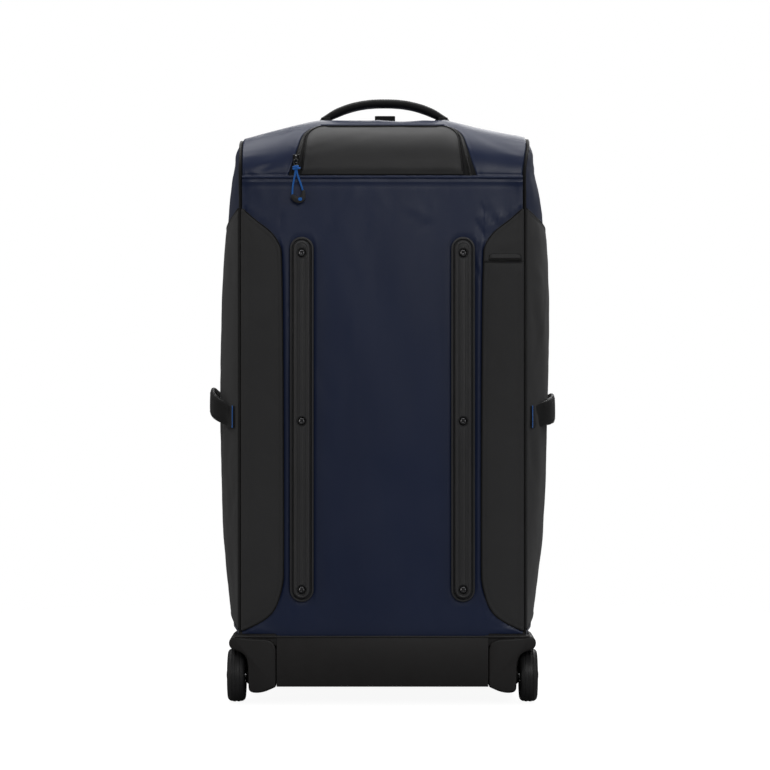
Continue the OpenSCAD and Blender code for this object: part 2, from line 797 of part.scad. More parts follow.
back_panel();
back_wings();
side_panel_left();
side_panel_right();
side_overlays();
back_shoulders();
top_panel();
front_top();
front_wings();
front_base();
floor_board();
piping();
rail_left();
rail_right();
rail_screws();
rail_nuts();
backing_board();
bottom_shell();
wheel_housing_left();
wheel_housing_right();
base_screws();
axles();
front_feet();
outer_tubes();
tube_collars();
handle_bezel();
tube_bracket();
garage_liner();
inner_straps();
flap_zip();
lid_zip();
handle_patches();
lash_tabs();
id_pocket();
wheel_place(-1) tyre();  // tyre_left
wheel_place(-1) hub();  // hub_left
wheel_place(-1) bearings();  // bearings_left
wheel_place(1) tyre();  // tyre_right
wheel_place(1) hub();  // hub_right
wheel_place(1) bearings();  // bearings_right
middle_tubes();
middle_collars();
inner_tubes();
grip();
button_spring();
grip_button();
push_rods();
lock_pins();
handle_flap();
flap_slider();
pull_cord_left();
pull_cord_right();
pull_tab();
lid_panel();
lid_slider_left();
lid_slider_right();
pocket_slider();
top_handle();
side_handle_left();
side_handle_right();
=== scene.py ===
"""The looks of a large rolling duffel bag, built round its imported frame.

Lengths here are in millimetres, and every mesh is scaled to metres when it is made. Only names
that end in _m are in metres. X runs across the bag, its back faces -Y, and Z is up.
"""

import json
import math

import bpy
import bmesh
import numpy as np
from mathutils import Matrix, Vector
from mathutils.bvhtree import BVHTree

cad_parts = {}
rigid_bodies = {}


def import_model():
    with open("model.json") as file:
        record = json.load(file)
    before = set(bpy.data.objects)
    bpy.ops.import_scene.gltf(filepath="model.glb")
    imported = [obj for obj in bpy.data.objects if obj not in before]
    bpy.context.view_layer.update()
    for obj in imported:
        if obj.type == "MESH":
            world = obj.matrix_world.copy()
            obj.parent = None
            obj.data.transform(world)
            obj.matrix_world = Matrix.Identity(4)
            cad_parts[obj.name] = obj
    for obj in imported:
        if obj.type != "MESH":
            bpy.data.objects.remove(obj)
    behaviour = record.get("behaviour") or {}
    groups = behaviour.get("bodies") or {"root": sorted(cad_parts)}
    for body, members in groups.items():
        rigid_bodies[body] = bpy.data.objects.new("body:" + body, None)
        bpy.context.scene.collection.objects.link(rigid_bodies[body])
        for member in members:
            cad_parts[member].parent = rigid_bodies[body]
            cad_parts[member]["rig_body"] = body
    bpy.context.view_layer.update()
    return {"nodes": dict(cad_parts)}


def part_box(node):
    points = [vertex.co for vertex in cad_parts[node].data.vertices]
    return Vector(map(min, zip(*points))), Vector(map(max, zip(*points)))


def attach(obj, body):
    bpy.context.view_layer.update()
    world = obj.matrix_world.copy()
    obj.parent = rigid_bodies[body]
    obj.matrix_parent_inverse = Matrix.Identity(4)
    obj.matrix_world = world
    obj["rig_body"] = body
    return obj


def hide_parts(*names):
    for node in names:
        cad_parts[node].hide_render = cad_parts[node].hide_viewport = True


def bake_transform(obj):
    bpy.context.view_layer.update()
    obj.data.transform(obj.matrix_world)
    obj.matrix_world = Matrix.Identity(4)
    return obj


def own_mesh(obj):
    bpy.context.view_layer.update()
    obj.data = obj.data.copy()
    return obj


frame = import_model()
MM = 0.001


# ---- Sizes of the frame

def low(node):
    """Low corner of a CAD node's box, in millimetres."""
    return np.array(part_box(node)[0]) / MM


def high(node):
    """High corner of a CAD node's box, in millimetres."""
    return np.array(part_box(node)[1]) / MM


BAND_HALF = high("back_panel")[0]
HALF_W = BAND_HALF + 3
BACK_Y = low("back_panel")[1]
FRONT_Y = high("front_base")[1]
BODY_H = high("top_panel")[2]
BACK_R = BODY_H - high("back_panel")[2]
FRONT_R = 80
BACK_BEND_Y = BACK_Y + BACK_R
BACK_BEND_Z = BODY_H - BACK_R
FRONT_BEND_Y = FRONT_Y - FRONT_R
FRONT_BEND_Z = BODY_H - FRONT_R
# The crest is level to LEVEL_HALF, then falls: in the frame by FRAME_DROP at the corners, and
# here by CREST_DROP, which differs left and right, as does the flare of the shoulders.
LEVEL_HALF = 85
FRAME_DROP = 30
CREST_DROP = {-1: 26.4, 1: 24.0}
SHOULDER_FLARE = {-1: 1.5, 1: 7.0}
SEAM_INSET = 6.5
SIDE_LOW = low("side_panel_right")[2]
SIDE_HIGH = high("side_panel_right")[2]
PANEL_T = 4
OVERLAY_LIFT = 2.3
SHELL_TOP = high("bottom_shell")[2]
BASE_Y = low("bottom_shell")[1]

# The trolley flap lies on the back bend: heights on it are angles in degrees, its half
# widths are in millimetres, and the strip of its zip is a little wider than the flap.
FLAP_TOP = 60
FLAP_ROUND_FROM = 42
FLAP_HALF = 104
FLAP_FLARE = 6
FLAP_TOP_HALF = 79
STRIP_TOP = 63.5
STRIP_SPREAD = 13
STRIP_LEAST = 4

LID_HALF = high("lid_panel")[0]
LID_LOW = low("lid_panel")[2]
LID_TOP = high("lid_zip")[2] - 8.6
LID_CORNER = 60
LID_CROWN = 8.4

RAIL_X = (low("rail_right")[0] + high("rail_right")[0]) / 2
RAIL_W = high("rail_right")[0] - low("rail_right")[0]
RAIL_LOW = low("rail_right")[2]
RAIL_TOP = high("rail_right")[2]
RAIL_BACK = low("rail_right")[1]
SCREW_HEIGHTS = (RAIL_LOW + 16.5, (RAIL_LOW + RAIL_TOP) / 2 - 2.5, RAIL_TOP - 22)

WHEEL_X = (low("tyre_right")[0] + high("tyre_right")[0]) / 2
WHEEL_R = (high("tyre_right")[2] - low("tyre_right")[2]) / 2
WHEEL_W = high("tyre_right")[0] - low("tyre_right")[0]
WHEEL_Y = (low("tyre_right")[1] + high("tyre_right")[1]) / 2
WHEEL_CENTRE = (0, WHEEL_Y, WHEEL_R)
BAG_CENTRE = np.array([0.0, 0.0, 400.0])
BOTH = (-1, 1)
WORD = {-1: "left", 1: "right"}
UPRIGHT = math.pi / 2


def once(side, *nodes):
    """CAD nodes that stand for both sides at once, so only the right piece replaces them."""
    return nodes if side > 0 else ()


# ---- Numbers

def waves(seed, shortest, longest, lean=0.0, spread=math.pi, count=22):
    """A smooth random function of two lengths, about -1 to 1, with those wavelengths."""
    rng = np.random.default_rng(seed)
    turn = lean + rng.uniform(-spread / 2, spread / 2, count)
    rate = 2 * math.pi / rng.uniform(shortest, longest, count)
    phase = rng.uniform(0, 2 * math.pi, count)

    def value(u, v):
        u, v = np.broadcast_arrays(np.asarray(u, float), np.asarray(v, float))
        along = u[..., None] * np.cos(turn) + v[..., None] * np.sin(turn)
        return np.sin(along * rate + phase).sum(-1) / math.sqrt(2 * count)

    return value


def puckers(along, away, seed, pitch=9.0, reach=9.0, height=0.5):
    """Small gathers that run out of a seam: along it, and away from it, in millimetres."""
    ripple = waves(seed, pitch * 0.7, pitch * 1.8, 0, 0.02)(along, 0)
    patchy = np.clip(0.45 + 0.8 * waves(seed + 1, pitch * 6, pitch * 15, 0, 0.02)(along, 0), 0, 1.3)
    return height * ripple * patchy * np.exp(-away / reach) * (1 - np.exp(-away / 1.6))


def creases(a, b, seed, count, reach, lean=0.0, spread=math.pi, length=(40, 130), width=(3, 9),
            height=1.0):
    """Soft folds scattered over a patch: reach is its low a, high a, low b and high b."""
    rng = np.random.default_rng(seed)
    total = np.zeros(np.broadcast(a, b).shape)
    for _ in range(count):
        ca, cb = rng.uniform(reach[0], reach[1]), rng.uniform(reach[2], reach[3])
        turn = lean + rng.uniform(-spread / 2, spread / 2)
        size, wide = rng.uniform(*length), rng.uniform(*width)
        tall = height * rng.uniform(0.4, 1.0) * rng.choice((-1, 1))
        bend = rng.uniform(-0.35, 0.35) / size
        u = (a - ca) * math.cos(turn) + (b - cb) * math.sin(turn)
        w = (b - cb) * math.cos(turn) - (a - ca) * math.sin(turn) + bend * u * u
        fade = np.clip(1 - (2 * u / size) ** 2, 0, 1) ** 1.5
        fold = np.exp(-(w / wide) ** 2) - 0.45 * np.exp(-((w - 1.6 * wide) / wide) ** 2)
        total = total + tall * fade * fold
    return total


def folds(a, b, *lots):
    """Several lots of creases on one patch: each is what creases takes after a and b."""
    return sum(creases(a, b, *lot) for lot in lots)


def hem(away, r=1.6):
    """The fall of a rolled edge of that radius."""
    inside = np.clip(r - away, 0, r)
    return np.sqrt(np.maximum(r * r - inside * inside, 0)) - r


def groove(away, at, depth=0.5, width=0.9):
    """A dent along a line that is that far from an edge."""
    return -depth * np.exp(-(((away - at) / width) ** 2))


def smooth(value, start, end):
    """0 before start, 1 after end, and an eased rise between."""
    t = np.clip((value - start) / (end - start), 0, 1)
    return t * t * (3 - 2 * t)


EDGE_STATIONS = (0, 0.25, 0.8, 1.6, 2.6, 3.6, 4.6, 5.8, 7.5, 10, 13.5, 18)


def unit(vectors):
    return vectors / np.maximum(np.linalg.norm(vectors, axis=-1, keepdims=True), 1e-9)


def around(count):
    """Angles of a full turn in equal steps."""
    return np.arange(count) * 2 * math.pi / count


def stations(start, end, step, fine=EDGE_STATIONS, also=()):
    """Places from start to end, a step apart, closer at both ends and round those in also."""
    near = [start + d for d in fine] + [end - d for d in fine]
    near += [a + d for a in also for d in (-3, -1.8, -1, -0.4, 0, 0.4, 1, 1.8, 3)]
    near = sorted(p for p in near if start - 1e-6 <= p <= end + 1e-6)
    places = list(near)
    for a, b in zip(near, near[1:]):
        extra = int((b - a) / step)
        places += [a + (b - a) * k / (extra + 1) for k in range(1, extra + 1)]
    places = np.array(sorted(places))
    return places[np.concatenate([[True], np.diff(places) > 0.12])]


def softened(points, times=2):
    """An open line with its corners cut, as a soft curve."""
    p = np.array(points, float)
    for _ in range(times):
        a = 0.75 * p[:-1] + 0.25 * p[1:]
        b = 0.25 * p[:-1] + 0.75 * p[1:]
        p = np.concatenate([p[:1], np.stack([a, b], 1).reshape(-1, p.shape[1]), p[-1:]])
    return p


def rounded(points, times=2):
    """A closed line with its corners cut."""
    p = np.array(points, float)
    for _ in range(times):
        q = np.roll(p, -1, 0)
        p = np.stack([0.75 * p + 0.25 * q, 0.25 * p + 0.75 * q], 1).reshape(-1, p.shape[1])
    return p


def resampled(path, pitch):
    """Points a pitch apart along a line."""
    path = np.array(path, float)
    run = np.concatenate([[0], np.cumsum(np.linalg.norm(np.diff(path, axis=0), axis=1))])
    count = max(2, int(run[-1] / pitch) + 1)
    at = np.linspace(0, run[-1], count)
    return np.stack([np.interp(at, run, path[:, k]) for k in range(path.shape[1])], -1)


def line_distance(points, line):
    """Distance from each point of an array to a line of points."""
    line = np.array(line, float)
    flat = points.reshape(-1, points.shape[-1])
    a, d = line[:-1], np.diff(line, axis=0)
    size = np.maximum((d * d).sum(1), 1e-9)
    found = np.empty(len(flat))
    for k in range(0, len(flat), 400):
        part = flat[k:k + 400, None] - a
        t = np.clip((part * d).sum(2) / size, 0, 1)
        found[k:k + 400] = np.sqrt(((part - t[..., None] * d) ** 2).sum(2).min(1))
    return found.reshape(points.shape[:-1])


def gap_to(a, b, line):
    """Distance from places given by two coordinates to a flat line."""
    return line_distance(np.stack([a, b], -1), line)


def margin(grid, sides="lrbt"):
    """Distance from each point of a grid to its left, right, bottom and top borders."""
    borders = {"l": grid[:, 0], "r": grid[:, -1], "b": grid[0], "t": grid[-1]}
    return np.min([line_distance(grid, borders[s]) for s in sides], axis=0)


# ---- The bag's surfaces

def drop(x):
    """How far the crest has fallen at x; the two shoulders are not quite alike."""
    most = np.where(np.asarray(x) < 0, CREST_DROP[-1], CREST_DROP[1])
    return most * np.clip((np.abs(x) - LEVEL_HALF) / (HALF_W - LEVEL_HALF), 0, None) ** 1.13


def flare(z, side):
    """How much wider the bag grows towards its shoulders."""
    return SHOULDER_FLARE[side] * smooth(np.asarray(z, float), BODY_H - 80, BODY_H - 26)


def band(s, x):
    """Outside of the band over the bag: s is 0 to 1 up the back bend, to 2 along the crest
    and to 3 down the front bend."""
    s, x = np.broadcast_arrays(np.asarray(s, float), np.asarray(x, float))
    up = np.radians(90 * np.clip(s, 0, 1))
    down = np.radians(90 * np.clip(3 - s, 0, 1))
    level = np.clip(s - 1, 0, 1) * (FRONT_BEND_Y - BACK_BEND_Y)
    y = BACK_BEND_Y - BACK_R * np.cos(up) + level
    y = np.where(s > 2, FRONT_BEND_Y + FRONT_R * np.cos(down), y)
    z = BACK_BEND_Z + (BACK_R - drop(x)) * np.sin(up)
    z = np.where(s > 2, FRONT_BEND_Z + (FRONT_R - drop(x)) * np.sin(down), z)
    wide = np.where(x < 0, flare(z, -1), flare(z, 1)) * smooth(np.abs(x), 145, BAND_HALF)
    return np.stack([x + np.sign(x) * wide, y, z], -1)


def band_run(s):
    """Length along the middle of the band."""
    s = np.asarray(s, float)
    quarter = math.pi / 2
    return (BACK_R * quarter * np.clip(s, 0, 1) + np.clip(s - 1, 0, 1) * (FRONT_BEND_Y - BACK_BEND_Y)
            + FRONT_R * quarter * np.clip(s - 2, 0, 1))


def flap_edge(a):
    """Half width of the flap at an angle up the bend."""
    a = np.asarray(a, float)
    turn = np.clip((a - FLAP_ROUND_FROM) / (FLAP_TOP - FLAP_ROUND_FROM), 0, 1)
    upper = FLAP_TOP_HALF + (FLAP_HALF - FLAP_TOP_HALF) * np.sqrt(1 - turn ** 2)
    return upper + FLAP_FLARE * np.clip(1 - a / 45, 0, 1)


def strip_edge(a):
    """Half width of the flap with the strip of its zip."""
    a = np.minimum(a, FLAP_TOP)
    return flap_edge(a) + STRIP_LEAST + STRIP_SPREAD * np.clip(1 - a / FLAP_TOP, 0, 1) ** 1.5


def flap_angles():
    """Rows of the flap and its strip, closer round the top corners."""
    lower = list(np.arange(0, FLAP_ROUND_FROM, 2.0))
    upper = [FLAP_ROUND_FROM + (FLAP_TOP - FLAP_ROUND_FROM) * math.sin(t)
             for t in np.linspace(0, math.pi / 2, 16)]
    return np.array(lower + upper)


def bend_edge(z, bend_z, r):
    share = np.clip(z - bend_z, 0, None) / (SIDE_HIGH - bend_z)
    return (r - SEAM_INSET) * np.sqrt(np.clip(1 - share ** 2, 0, 1))


def side_back(z):
    """Where a side panel ends at the back."""
    return BACK_BEND_Y - bend_edge(z, BACK_BEND_Z, BACK_R)


def side_front(z):
    """Where a side panel ends at the front."""
    return FRONT_BEND_Y + bend_edge(z, FRONT_BEND_Z, FRONT_R)


# How far the packed-out sides stand out at each height, and how far they reach under the frame's.
SKIRT = 11
FULL_Z = (85, 127, 211, 295, 434, 546, 630, 686, 714, 755)
FULL = {-1: (12.5, 18, 26.5, 30.5, 32, 29.5, 24, 19, 14.5, 9),
        1: (12.5, 16.5, 27.5, 33, 37, 37, 34, 27, 19, 8)}


def side_x(z, v, side):
    """Half the bag's width where its side is packed out; the two sides are not alike."""
    ends = np.clip(np.minimum((z - SIDE_LOW + SKIRT) / 9, (SIDE_HIGH + 0.02 - z) / 16), 0.001, 1)
    full = np.interp(z, FULL_Z, FULL[side]) * np.sqrt(1 - (1 - ends) ** 2)
    return HALF_W + 1 + flare(z + 5, side) + full * (1 - np.abs(v) ** 2.2)


def side_point(z, v, side):
    """A place on a side: v runs from -1 at its back edge to 1 at its front edge."""
    z, v = np.broadcast_arrays(np.asarray(z, float), np.asarray(v, float))
    middle = (side_front(z) + side_back(z)) / 2
    half = (side_front(z) - side_back(z)) / 2
    return np.stack([side_x(z, v, side), middle + v * half, z], -1)


# ---- Meshes

def in_scene(name, data):
    """A new object in the scene."""
    piece = bpy.data.objects.new(name, data)
    bpy.context.scene.collection.objects.link(piece)
    return piece


def closed_mesh(name, shape):
    """A mesh in metres from points in millimetres and faces, with its faces turned outward."""
    points, faces = shape
    mesh = bpy.data.meshes.new(name)
    mesh.from_pydata((np.asarray(points, float) * MM).tolist(), [], [list(map(int, f)) for f in faces])
    work = bmesh.new()
    work.from_mesh(mesh)
    bmesh.ops.recalc_face_normals(work, faces=work.faces)
    work.to_mesh(mesh)
    work.free()
    return mesh


def smoothed(mesh, angle):
    """Smooth shading, but for edges sharper than the angle."""
    mesh.polygons.foreach_set("use_smooth", np.ones(len(mesh.polygons), bool))
    mesh.set_sharp_from_angle(angle=math.radians(angle))


def one_material(mesh, slot):
    mesh.materials.clear()
    mesh.materials.append(MATERIALS[slot])
    mesh.polygons.foreach_set("material_index", np.zeros(len(mesh.polygons), np.int32))


def new_object(name, shape, slots, kinds=None, sharp=45, body="root", replaces=()):
    """A closed mesh that rides on a body. kinds says which slot each face takes."""
    mesh = closed_mesh(name, shape)
    if kinds is not None:
        mesh.polygons.foreach_set("material_index", np.asarray(kinds, np.int32))
    smoothed(mesh, sharp)
    piece = in_scene(name, mesh)
    slots = [slots] if isinstance(slots, str) else list(slots)
    for slot in slots:
        mesh.materials.append(MATERIALS[slot])
    if body:
        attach(piece, body)
    if replaces:
        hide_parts(*replaces)
    return piece


def slab_mesh(outer, inner, keep=None):
    """Points, faces and the count of each kind of face of a sheet between two grids."""
    rows, cols = outer.shape[:2]
    index = np.arange(rows * cols).reshape(rows, cols)
    quads = np.stack([index[:-1, :-1], index[:-1, 1:], index[1:, 1:], index[1:, :-1]], -1)
    quads = quads.reshape(-1, 4) if keep is None else quads[keep]
    total = rows * cols
    edges = np.concatenate([quads[:, [k, (k + 1) % 4]] for k in range(4)])
    there = edges[:, 0] * total + edges[:, 1]
    back = edges[:, 1] * total + edges[:, 0]
    rim = edges[~np.isin(there, back)]
    sides = np.stack([rim[:, 1], rim[:, 0], rim[:, 0] + total, rim[:, 1] + total], -1)
    faces = np.concatenate([quads, quads[:, ::-1] + total, sides])
    points = np.concatenate([outer.reshape(-1, 3), inner.reshape(-1, 3)])
    used, faces = np.unique(faces, return_inverse=True)
    return points[used], faces.reshape(-1, 4), (len(quads), len(quads), len(sides))


def outward(grid):
    """Unit normals of a grid, away from the middle of the bag."""
    normal = unit(np.cross(np.gradient(grid, axis=1), np.gradient(grid, axis=0)))
    away = ((grid - BAG_CENTRE) * normal).sum() < 0
    return -normal if away else normal


def cloth(name, grid, height, thick, slots, keep=None, **more):
    """A sheet with that relief on its outside; slots are its outer and its lining material."""
    normal = outward(grid)
    outer = grid + normal * np.asarray(height)[..., None]
    points, faces, counts = slab_mesh(outer, grid - normal * thick, keep)
    slots = [slots] if isinstance(slots, str) else list(slots)
    lining = len(slots) - 1
    kinds = [0] * counts[0] + [lining] * counts[1] + [0] * counts[2]
    return new_object(name, (points, faces), slots, kinds, **more)


def tube_mesh(rings, closed=False):
    """Points and faces of rings joined in turn, with flat ends unless it closes on itself."""
    rings = np.asarray(rings, float)
    n, k = rings.shape[:2]
    faces = []
    for i in range(n if closed else n - 1):
        m = (i + 1) % n
        for j in range(k):
            w = (j + 1) % k
            faces.append((i * k + j, i * k + w, m * k + w, m * k + j))
    if not closed:
        faces.append(tuple(range(k)))
        faces.append(tuple((n - 1) * k + j for j in range(k))[::-1])
    return rings.reshape(-1, 3), faces


def swept(path, section, up, closed=False):
    """Rings of a section, across and up, carried along a path. The section may change."""
    path = np.asarray(path, float)
    section = np.asarray(section, float)
    if section.ndim == 2:
        section = np.repeat(section[None], len(path), 0)
    if closed:
        along = np.roll(path, -1, 0) - np.roll(path, 1, 0)
    else:
        along = np.gradient(path, axis=0)
    along = unit(along)
    up = np.broadcast_to(np.asarray(up, float), path.shape)
    side = unit(np.cross(along, up))
    rise = np.cross(side, along)
    return (path[:, None] + section[..., :1] * side[:, None] + section[..., 1:] * rise[:, None])


def oval(width, height, sides=12, power=2.0):
    """A superellipse section."""
    t = around(sides)
    c, s = np.cos(t), np.sin(t)
    fold = 2 / power
    return np.stack([width / 2 * np.sign(c) * np.abs(c) ** fold,
                     height / 2 * np.sign(s) * np.abs(s) ** fold], -1)


def rod(path, section, up, closed=False):
    """Points and faces of a section carried along a path."""
    return tube_mesh(swept(path, section, up, closed), closed)


def xyz(x, y, z):
    """Points with those coordinates, any of which may be one number."""
    return np.stack(np.broadcast_arrays(x, y, z), -1)


def joined(parts):
    """One list of points and faces from several."""
    points, faces, start = [], [], 0
    for verts, polys in parts:
        points.append(np.asarray(verts, float))
        faces += [tuple(start + int(v) for v in f) for f in polys]
        start += len(verts)
    return np.concatenate(points), faces


def surface_of(piece):
    """A way to drop points on to a piece: gives places and outward normals in millimetres."""
    tree = BVHTree.FromPolygons([v.co for v in piece.data.vertices],
                                [tuple(p.vertices) for p in piece.data.polygons])

    def place(points, lift=0.0):
        spots, normals = [], []
        for p in np.asarray(points, float):
            spot, normal, _, _ = tree.find_nearest(Vector(p * MM))
            spots.append(np.array(spot) / MM + lift * np.array(normal))
            normals.append(np.array(normal))
        return np.array(spots), np.array(normals)

    return place


def stitched(name, piece, paths, slot="grey_fabric", body="root", pitch=3.6, length=2.5, radius=0.42):
    """Rows of stitches that lie on a piece."""
    place = surface_of(piece)
    parts = []
    for path in paths:
        spots, normals = place(resampled(path, pitch), 0.1)
        parts.append(beads_on(spots, normals, length, radius))
    return new_object(name, joined(parts), slot, sharp=60, body=body)


def beads_on(spots, normals, length, radius, across=False, flat=0.7):
    """A row of small rounded pegs, such as stitches or zip teeth, at places with normals."""
    normals = np.broadcast_to(np.asarray(normals, float), spots.shape)
    along = unit(np.gradient(spots, axis=0))
    side = unit(np.cross(along, normals))
    axis = side if across else along
    other = along if across else side
    profile = ((-0.5, 0.25), (-0.36, 0.85), (0, 1), (0.36, 0.85), (0.5, 0.25))
    turns = around(6)
    parts = []
    for p, a, o, n in zip(spots, axis, other, normals):
        rings = [[p + a * length * t + radius * w * (o * math.cos(q) + flat * n * math.sin(q))
                  for q in turns] for t, w in profile]
        parts.append(tube_mesh(rings))
    return joined(parts)


def lathe(profile, centre, axis="x", sides=64):
    """Points and faces of a profile of (radius, along) pairs turned about an axis."""
    turn = around(sides)
    rings = []
    for r, t in profile:
        c, s, a = r * np.cos(turn), r * np.sin(turn), np.full(sides, float(t))
        rings.append(np.stack({"x": (a, c, s), "y": (s, a, c)}[axis], -1) + centre)
    return tube_mesh(rings)


def prism(outline, start, end, fillet, axis="y", steps=4):
    """An outline made thick along an axis, with both rims rounded by the fillet."""
    outline = np.asarray(outline, float)
    along = unit(np.roll(outline, -1, 0) - np.roll(outline, 1, 0))
    inward = np.stack([-along[:, 1], along[:, 0]], -1)
    area = (outline[:, 0] * np.roll(outline[:, 1], -1) - outline[:, 1] * np.roll(outline[:, 0], -1)).sum()
    if area < 0:
        inward = -inward
    turns = np.linspace(0, math.pi / 2, steps + 1)
    rows = [(fillet * (1 - math.sin(t)), start + fillet * (1 - math.cos(t))) for t in turns]
    rows += [(inset, start + end - at) for inset, at in reversed(rows)]
    rings = []
    for inset, at in rows:
        flat = outline + inward * inset
        deep = np.full(len(flat), at)
        order = {"y": (flat[:, 0], deep, flat[:, 1]), "z": (flat[:, 0], flat[:, 1], deep)}[axis]
        rings.append(np.stack(order, -1))
    return tube_mesh(rings)


def block(size, centre, r, turn=None):
    """A block with rounded upright edges and rims."""
    w, d, h = (s / 2 for s in size)
    r = min(r, 0.45 * min(size))
    corners = [(w - r, d - r, 0), (-w + r, d - r, 90), (-w + r, -d + r, 180), (w - r, -d + r, 270)]
    outline = [(x + r * math.cos(math.radians(a + t)), y + r * math.sin(math.radians(a + t)))
               for x, y, a in corners for t in (0, 30, 60, 90)]
    verts, faces = prism(outline, -h, h, r * 0.6, axis="z", steps=3)
    if turn is not None:
        verts = verts @ np.array(turn).T
    return verts + np.asarray(centre, float), faces


def cut(piece, cutter_parts):
    """Takes closed shapes away from a piece."""
    cutter = in_scene("cutter", closed_mesh("cutter", joined(cutter_parts)))
    away = piece.modifiers.new("cut", "BOOLEAN")
    away.operation = "DIFFERENCE"
    away.solver = "EXACT"
    away.object = cutter
    apply_modifiers(piece)
    bpy.data.objects.remove(cutter)
    smoothed(piece.data, 35)


def apply_modifiers(piece):
    graph = bpy.context.evaluated_depsgraph_get()
    graph.update()
    made = bpy.data.meshes.new_from_object(piece.evaluated_get(graph))
    piece.modifiers.clear()
    piece.data = made


def dressed(node, slot, bevel, segments):
    """A copy of a CAD node with its edges broken, which stands for the node."""
    source = frame["nodes"][node]
    work = bmesh.new()
    work.from_mesh(source.data)
    bmesh.ops.remove_doubles(work, verts=work.verts, dist=2e-6)
    bmesh.ops.dissolve_limit(work, angle_limit=math.radians(1.5), verts=work.verts, edges=work.edges)
    mesh = bpy.data.meshes.new(node)
    work.to_mesh(mesh)
    work.free()
    one_material(mesh, slot)
    piece = in_scene("fine_" + node, mesh)
    edge = piece.modifiers.new("edge", "BEVEL")
    edge.width = bevel * MM
    edge.segments = segments
    edge.limit_method = "ANGLE"
    edge.angle_limit = math.radians(32)
    edge.use_clamp_overlap = True
    apply_modifiers(piece)
    smoothed(piece.data, 40)
    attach(piece, source["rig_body"])
    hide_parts(node)
    return piece


def painted(slot, *nodes):
    """CAD nodes whose shape is right, in their better material."""
    for node in nodes:
        piece = frame["nodes"][node]
        one_material(piece.data, slot)


# ---- Materials

class Shader:
    """Builds one node material, a step at a time."""

    def __init__(self, name):
        self.material = bpy.data.materials.new(name)
        self.material.use_nodes = True
        self.tree = self.material.node_tree
        self.tree.nodes.clear()
        self.place = self.add("ShaderNodeTexCoord")

    def add(self, kind, settings=None, **inputs):
        node = self.tree.nodes.new(kind)
        for key, value in (settings or {}).items():
            setattr(node, key, value)
        for key, value in inputs.items():
            numbered = key[0] == "_" and key[1:].isdigit()
            self.put(node.inputs[int(key[1:]) if numbered else key], value)
        return node

    def put(self, socket, value):
        if isinstance(value, bpy.types.NodeSocket):
            self.tree.links.new(value, socket)
        else:
            socket.default_value = value

    def math(self, operation, a, b=0.0, c=0.0):
        return self.add("ShaderNodeMath", {"operation": operation}, _0=a, _1=b, _2=c).outputs[0]

    def noise(self, scale, detail=3.0, stretch=(1, 1, 1)):
        where = self.add("ShaderNodeMapping", Vector=self.place.outputs["Object"], Scale=stretch)
        found = self.add("ShaderNodeTexNoise", Vector=where.outputs[0], Scale=scale, Detail=detail)
        return found.outputs[0]

    def bands(self, direction, scale):
        found = self.add("ShaderNodeTexWave", {"bands_direction": direction},
                         Vector=self.place.outputs["Object"], Scale=scale)
        return found.outputs["Fac"]

    def weave(self, pitch):
        """Crossed threads on whichever plane a surface faces; the pitch is in metres."""
        scale = math.pi / 10 / pitch
        x, y, z = (self.bands(d, scale) for d in "XYZ")
        faces = self.add("ShaderNodeSeparateXYZ", Vector=self.place.outputs["Normal"])
        total = 0.0
        for k, (a, b) in enumerate(((y, z), (x, z), (x, y))):
            share = self.math("ABSOLUTE", faces.outputs[k])
            crossed = self.math("ABSOLUTE", self.math("SUBTRACT", a, b))
            total = self.math("MULTIPLY_ADD", crossed, share, total)
        return total

    def tones(self, factor, dark, light, start=0.3, end=0.7):
        spread = self.add("ShaderNodeMapRange", Value=factor)
        spread.inputs["From Min"].default_value = start
        spread.inputs["From Max"].default_value = end
        mixed = self.add("ShaderNodeMix", {"data_type": "RGBA"}, _0=spread.outputs[0])
        mixed.inputs[6].default_value = (*dark, 1)
        mixed.inputs[7].default_value = (*light, 1)
        return mixed.outputs[2]

    def over(self, factor, under, colour):
        mixed = self.add("ShaderNodeMix", {"data_type": "RGBA"}, _0=factor, _6=under)
        mixed.inputs[7].default_value = (*colour, 1)
        return mixed.outputs[2]

    def range(self, value, start, end, low_value, high_value):
        spread = self.add("ShaderNodeMapRange", Value=value)
        spread.inputs["From Min"].default_value = start
        spread.inputs["From Max"].default_value = end
        spread.inputs["To Min"].default_value = low_value
        spread.inputs["To Max"].default_value = high_value
        return spread.outputs[0]

    def bump(self, height, strength, distance):
        return self.add("ShaderNodeBump", Height=height, Strength=strength, Distance=distance).outputs[0]

    def done(self, colour, rough, normal=None, **uniform):
        shader = self.add("ShaderNodeBsdfPrincipled")
        self.put(shader.inputs["Base Color"], colour)
        self.put(shader.inputs["Roughness"], rough)
        if normal is not None:
            self.put(shader.inputs["Normal"], normal)
        for key, value in uniform.items():
            shader.inputs[key.replace("_", " ")].default_value = value
        self.add("ShaderNodeOutputMaterial", _0=shader.outputs[0])
        return self.material


def shade(colour, amount):
    return tuple(c * amount for c in colour)


def fabric(name, colour, rough, pitch, vary=0.12, depth=0.00025, strength=0.3, grain=0.5, **uniform):
    """A woven or coated cloth: threads at that pitch, fine grain and slow changes of tone."""
    s = Shader(name)
    slow = s.noise(7, 4, (1, 1, 0.45))
    fine = s.noise(520, 2)
    threads = s.weave(pitch)
    base = s.tones(slow, shade(colour, 1 - vary), shade(colour, 1 + vary))
    base = s.over(s.range(threads, 0.1, 0.9, 0.0, 0.35), base, shade(colour, 0.72))
    gloss = s.range(s.noise(16, 5), 0.25, 0.75, rough - 0.05, rough + 0.06)
    height = s.math("MULTIPLY_ADD", fine, grain, s.math("MULTIPLY", threads, 1 - grain))
    return s.done(base, gloss, s.bump(height, strength, depth), **uniform)


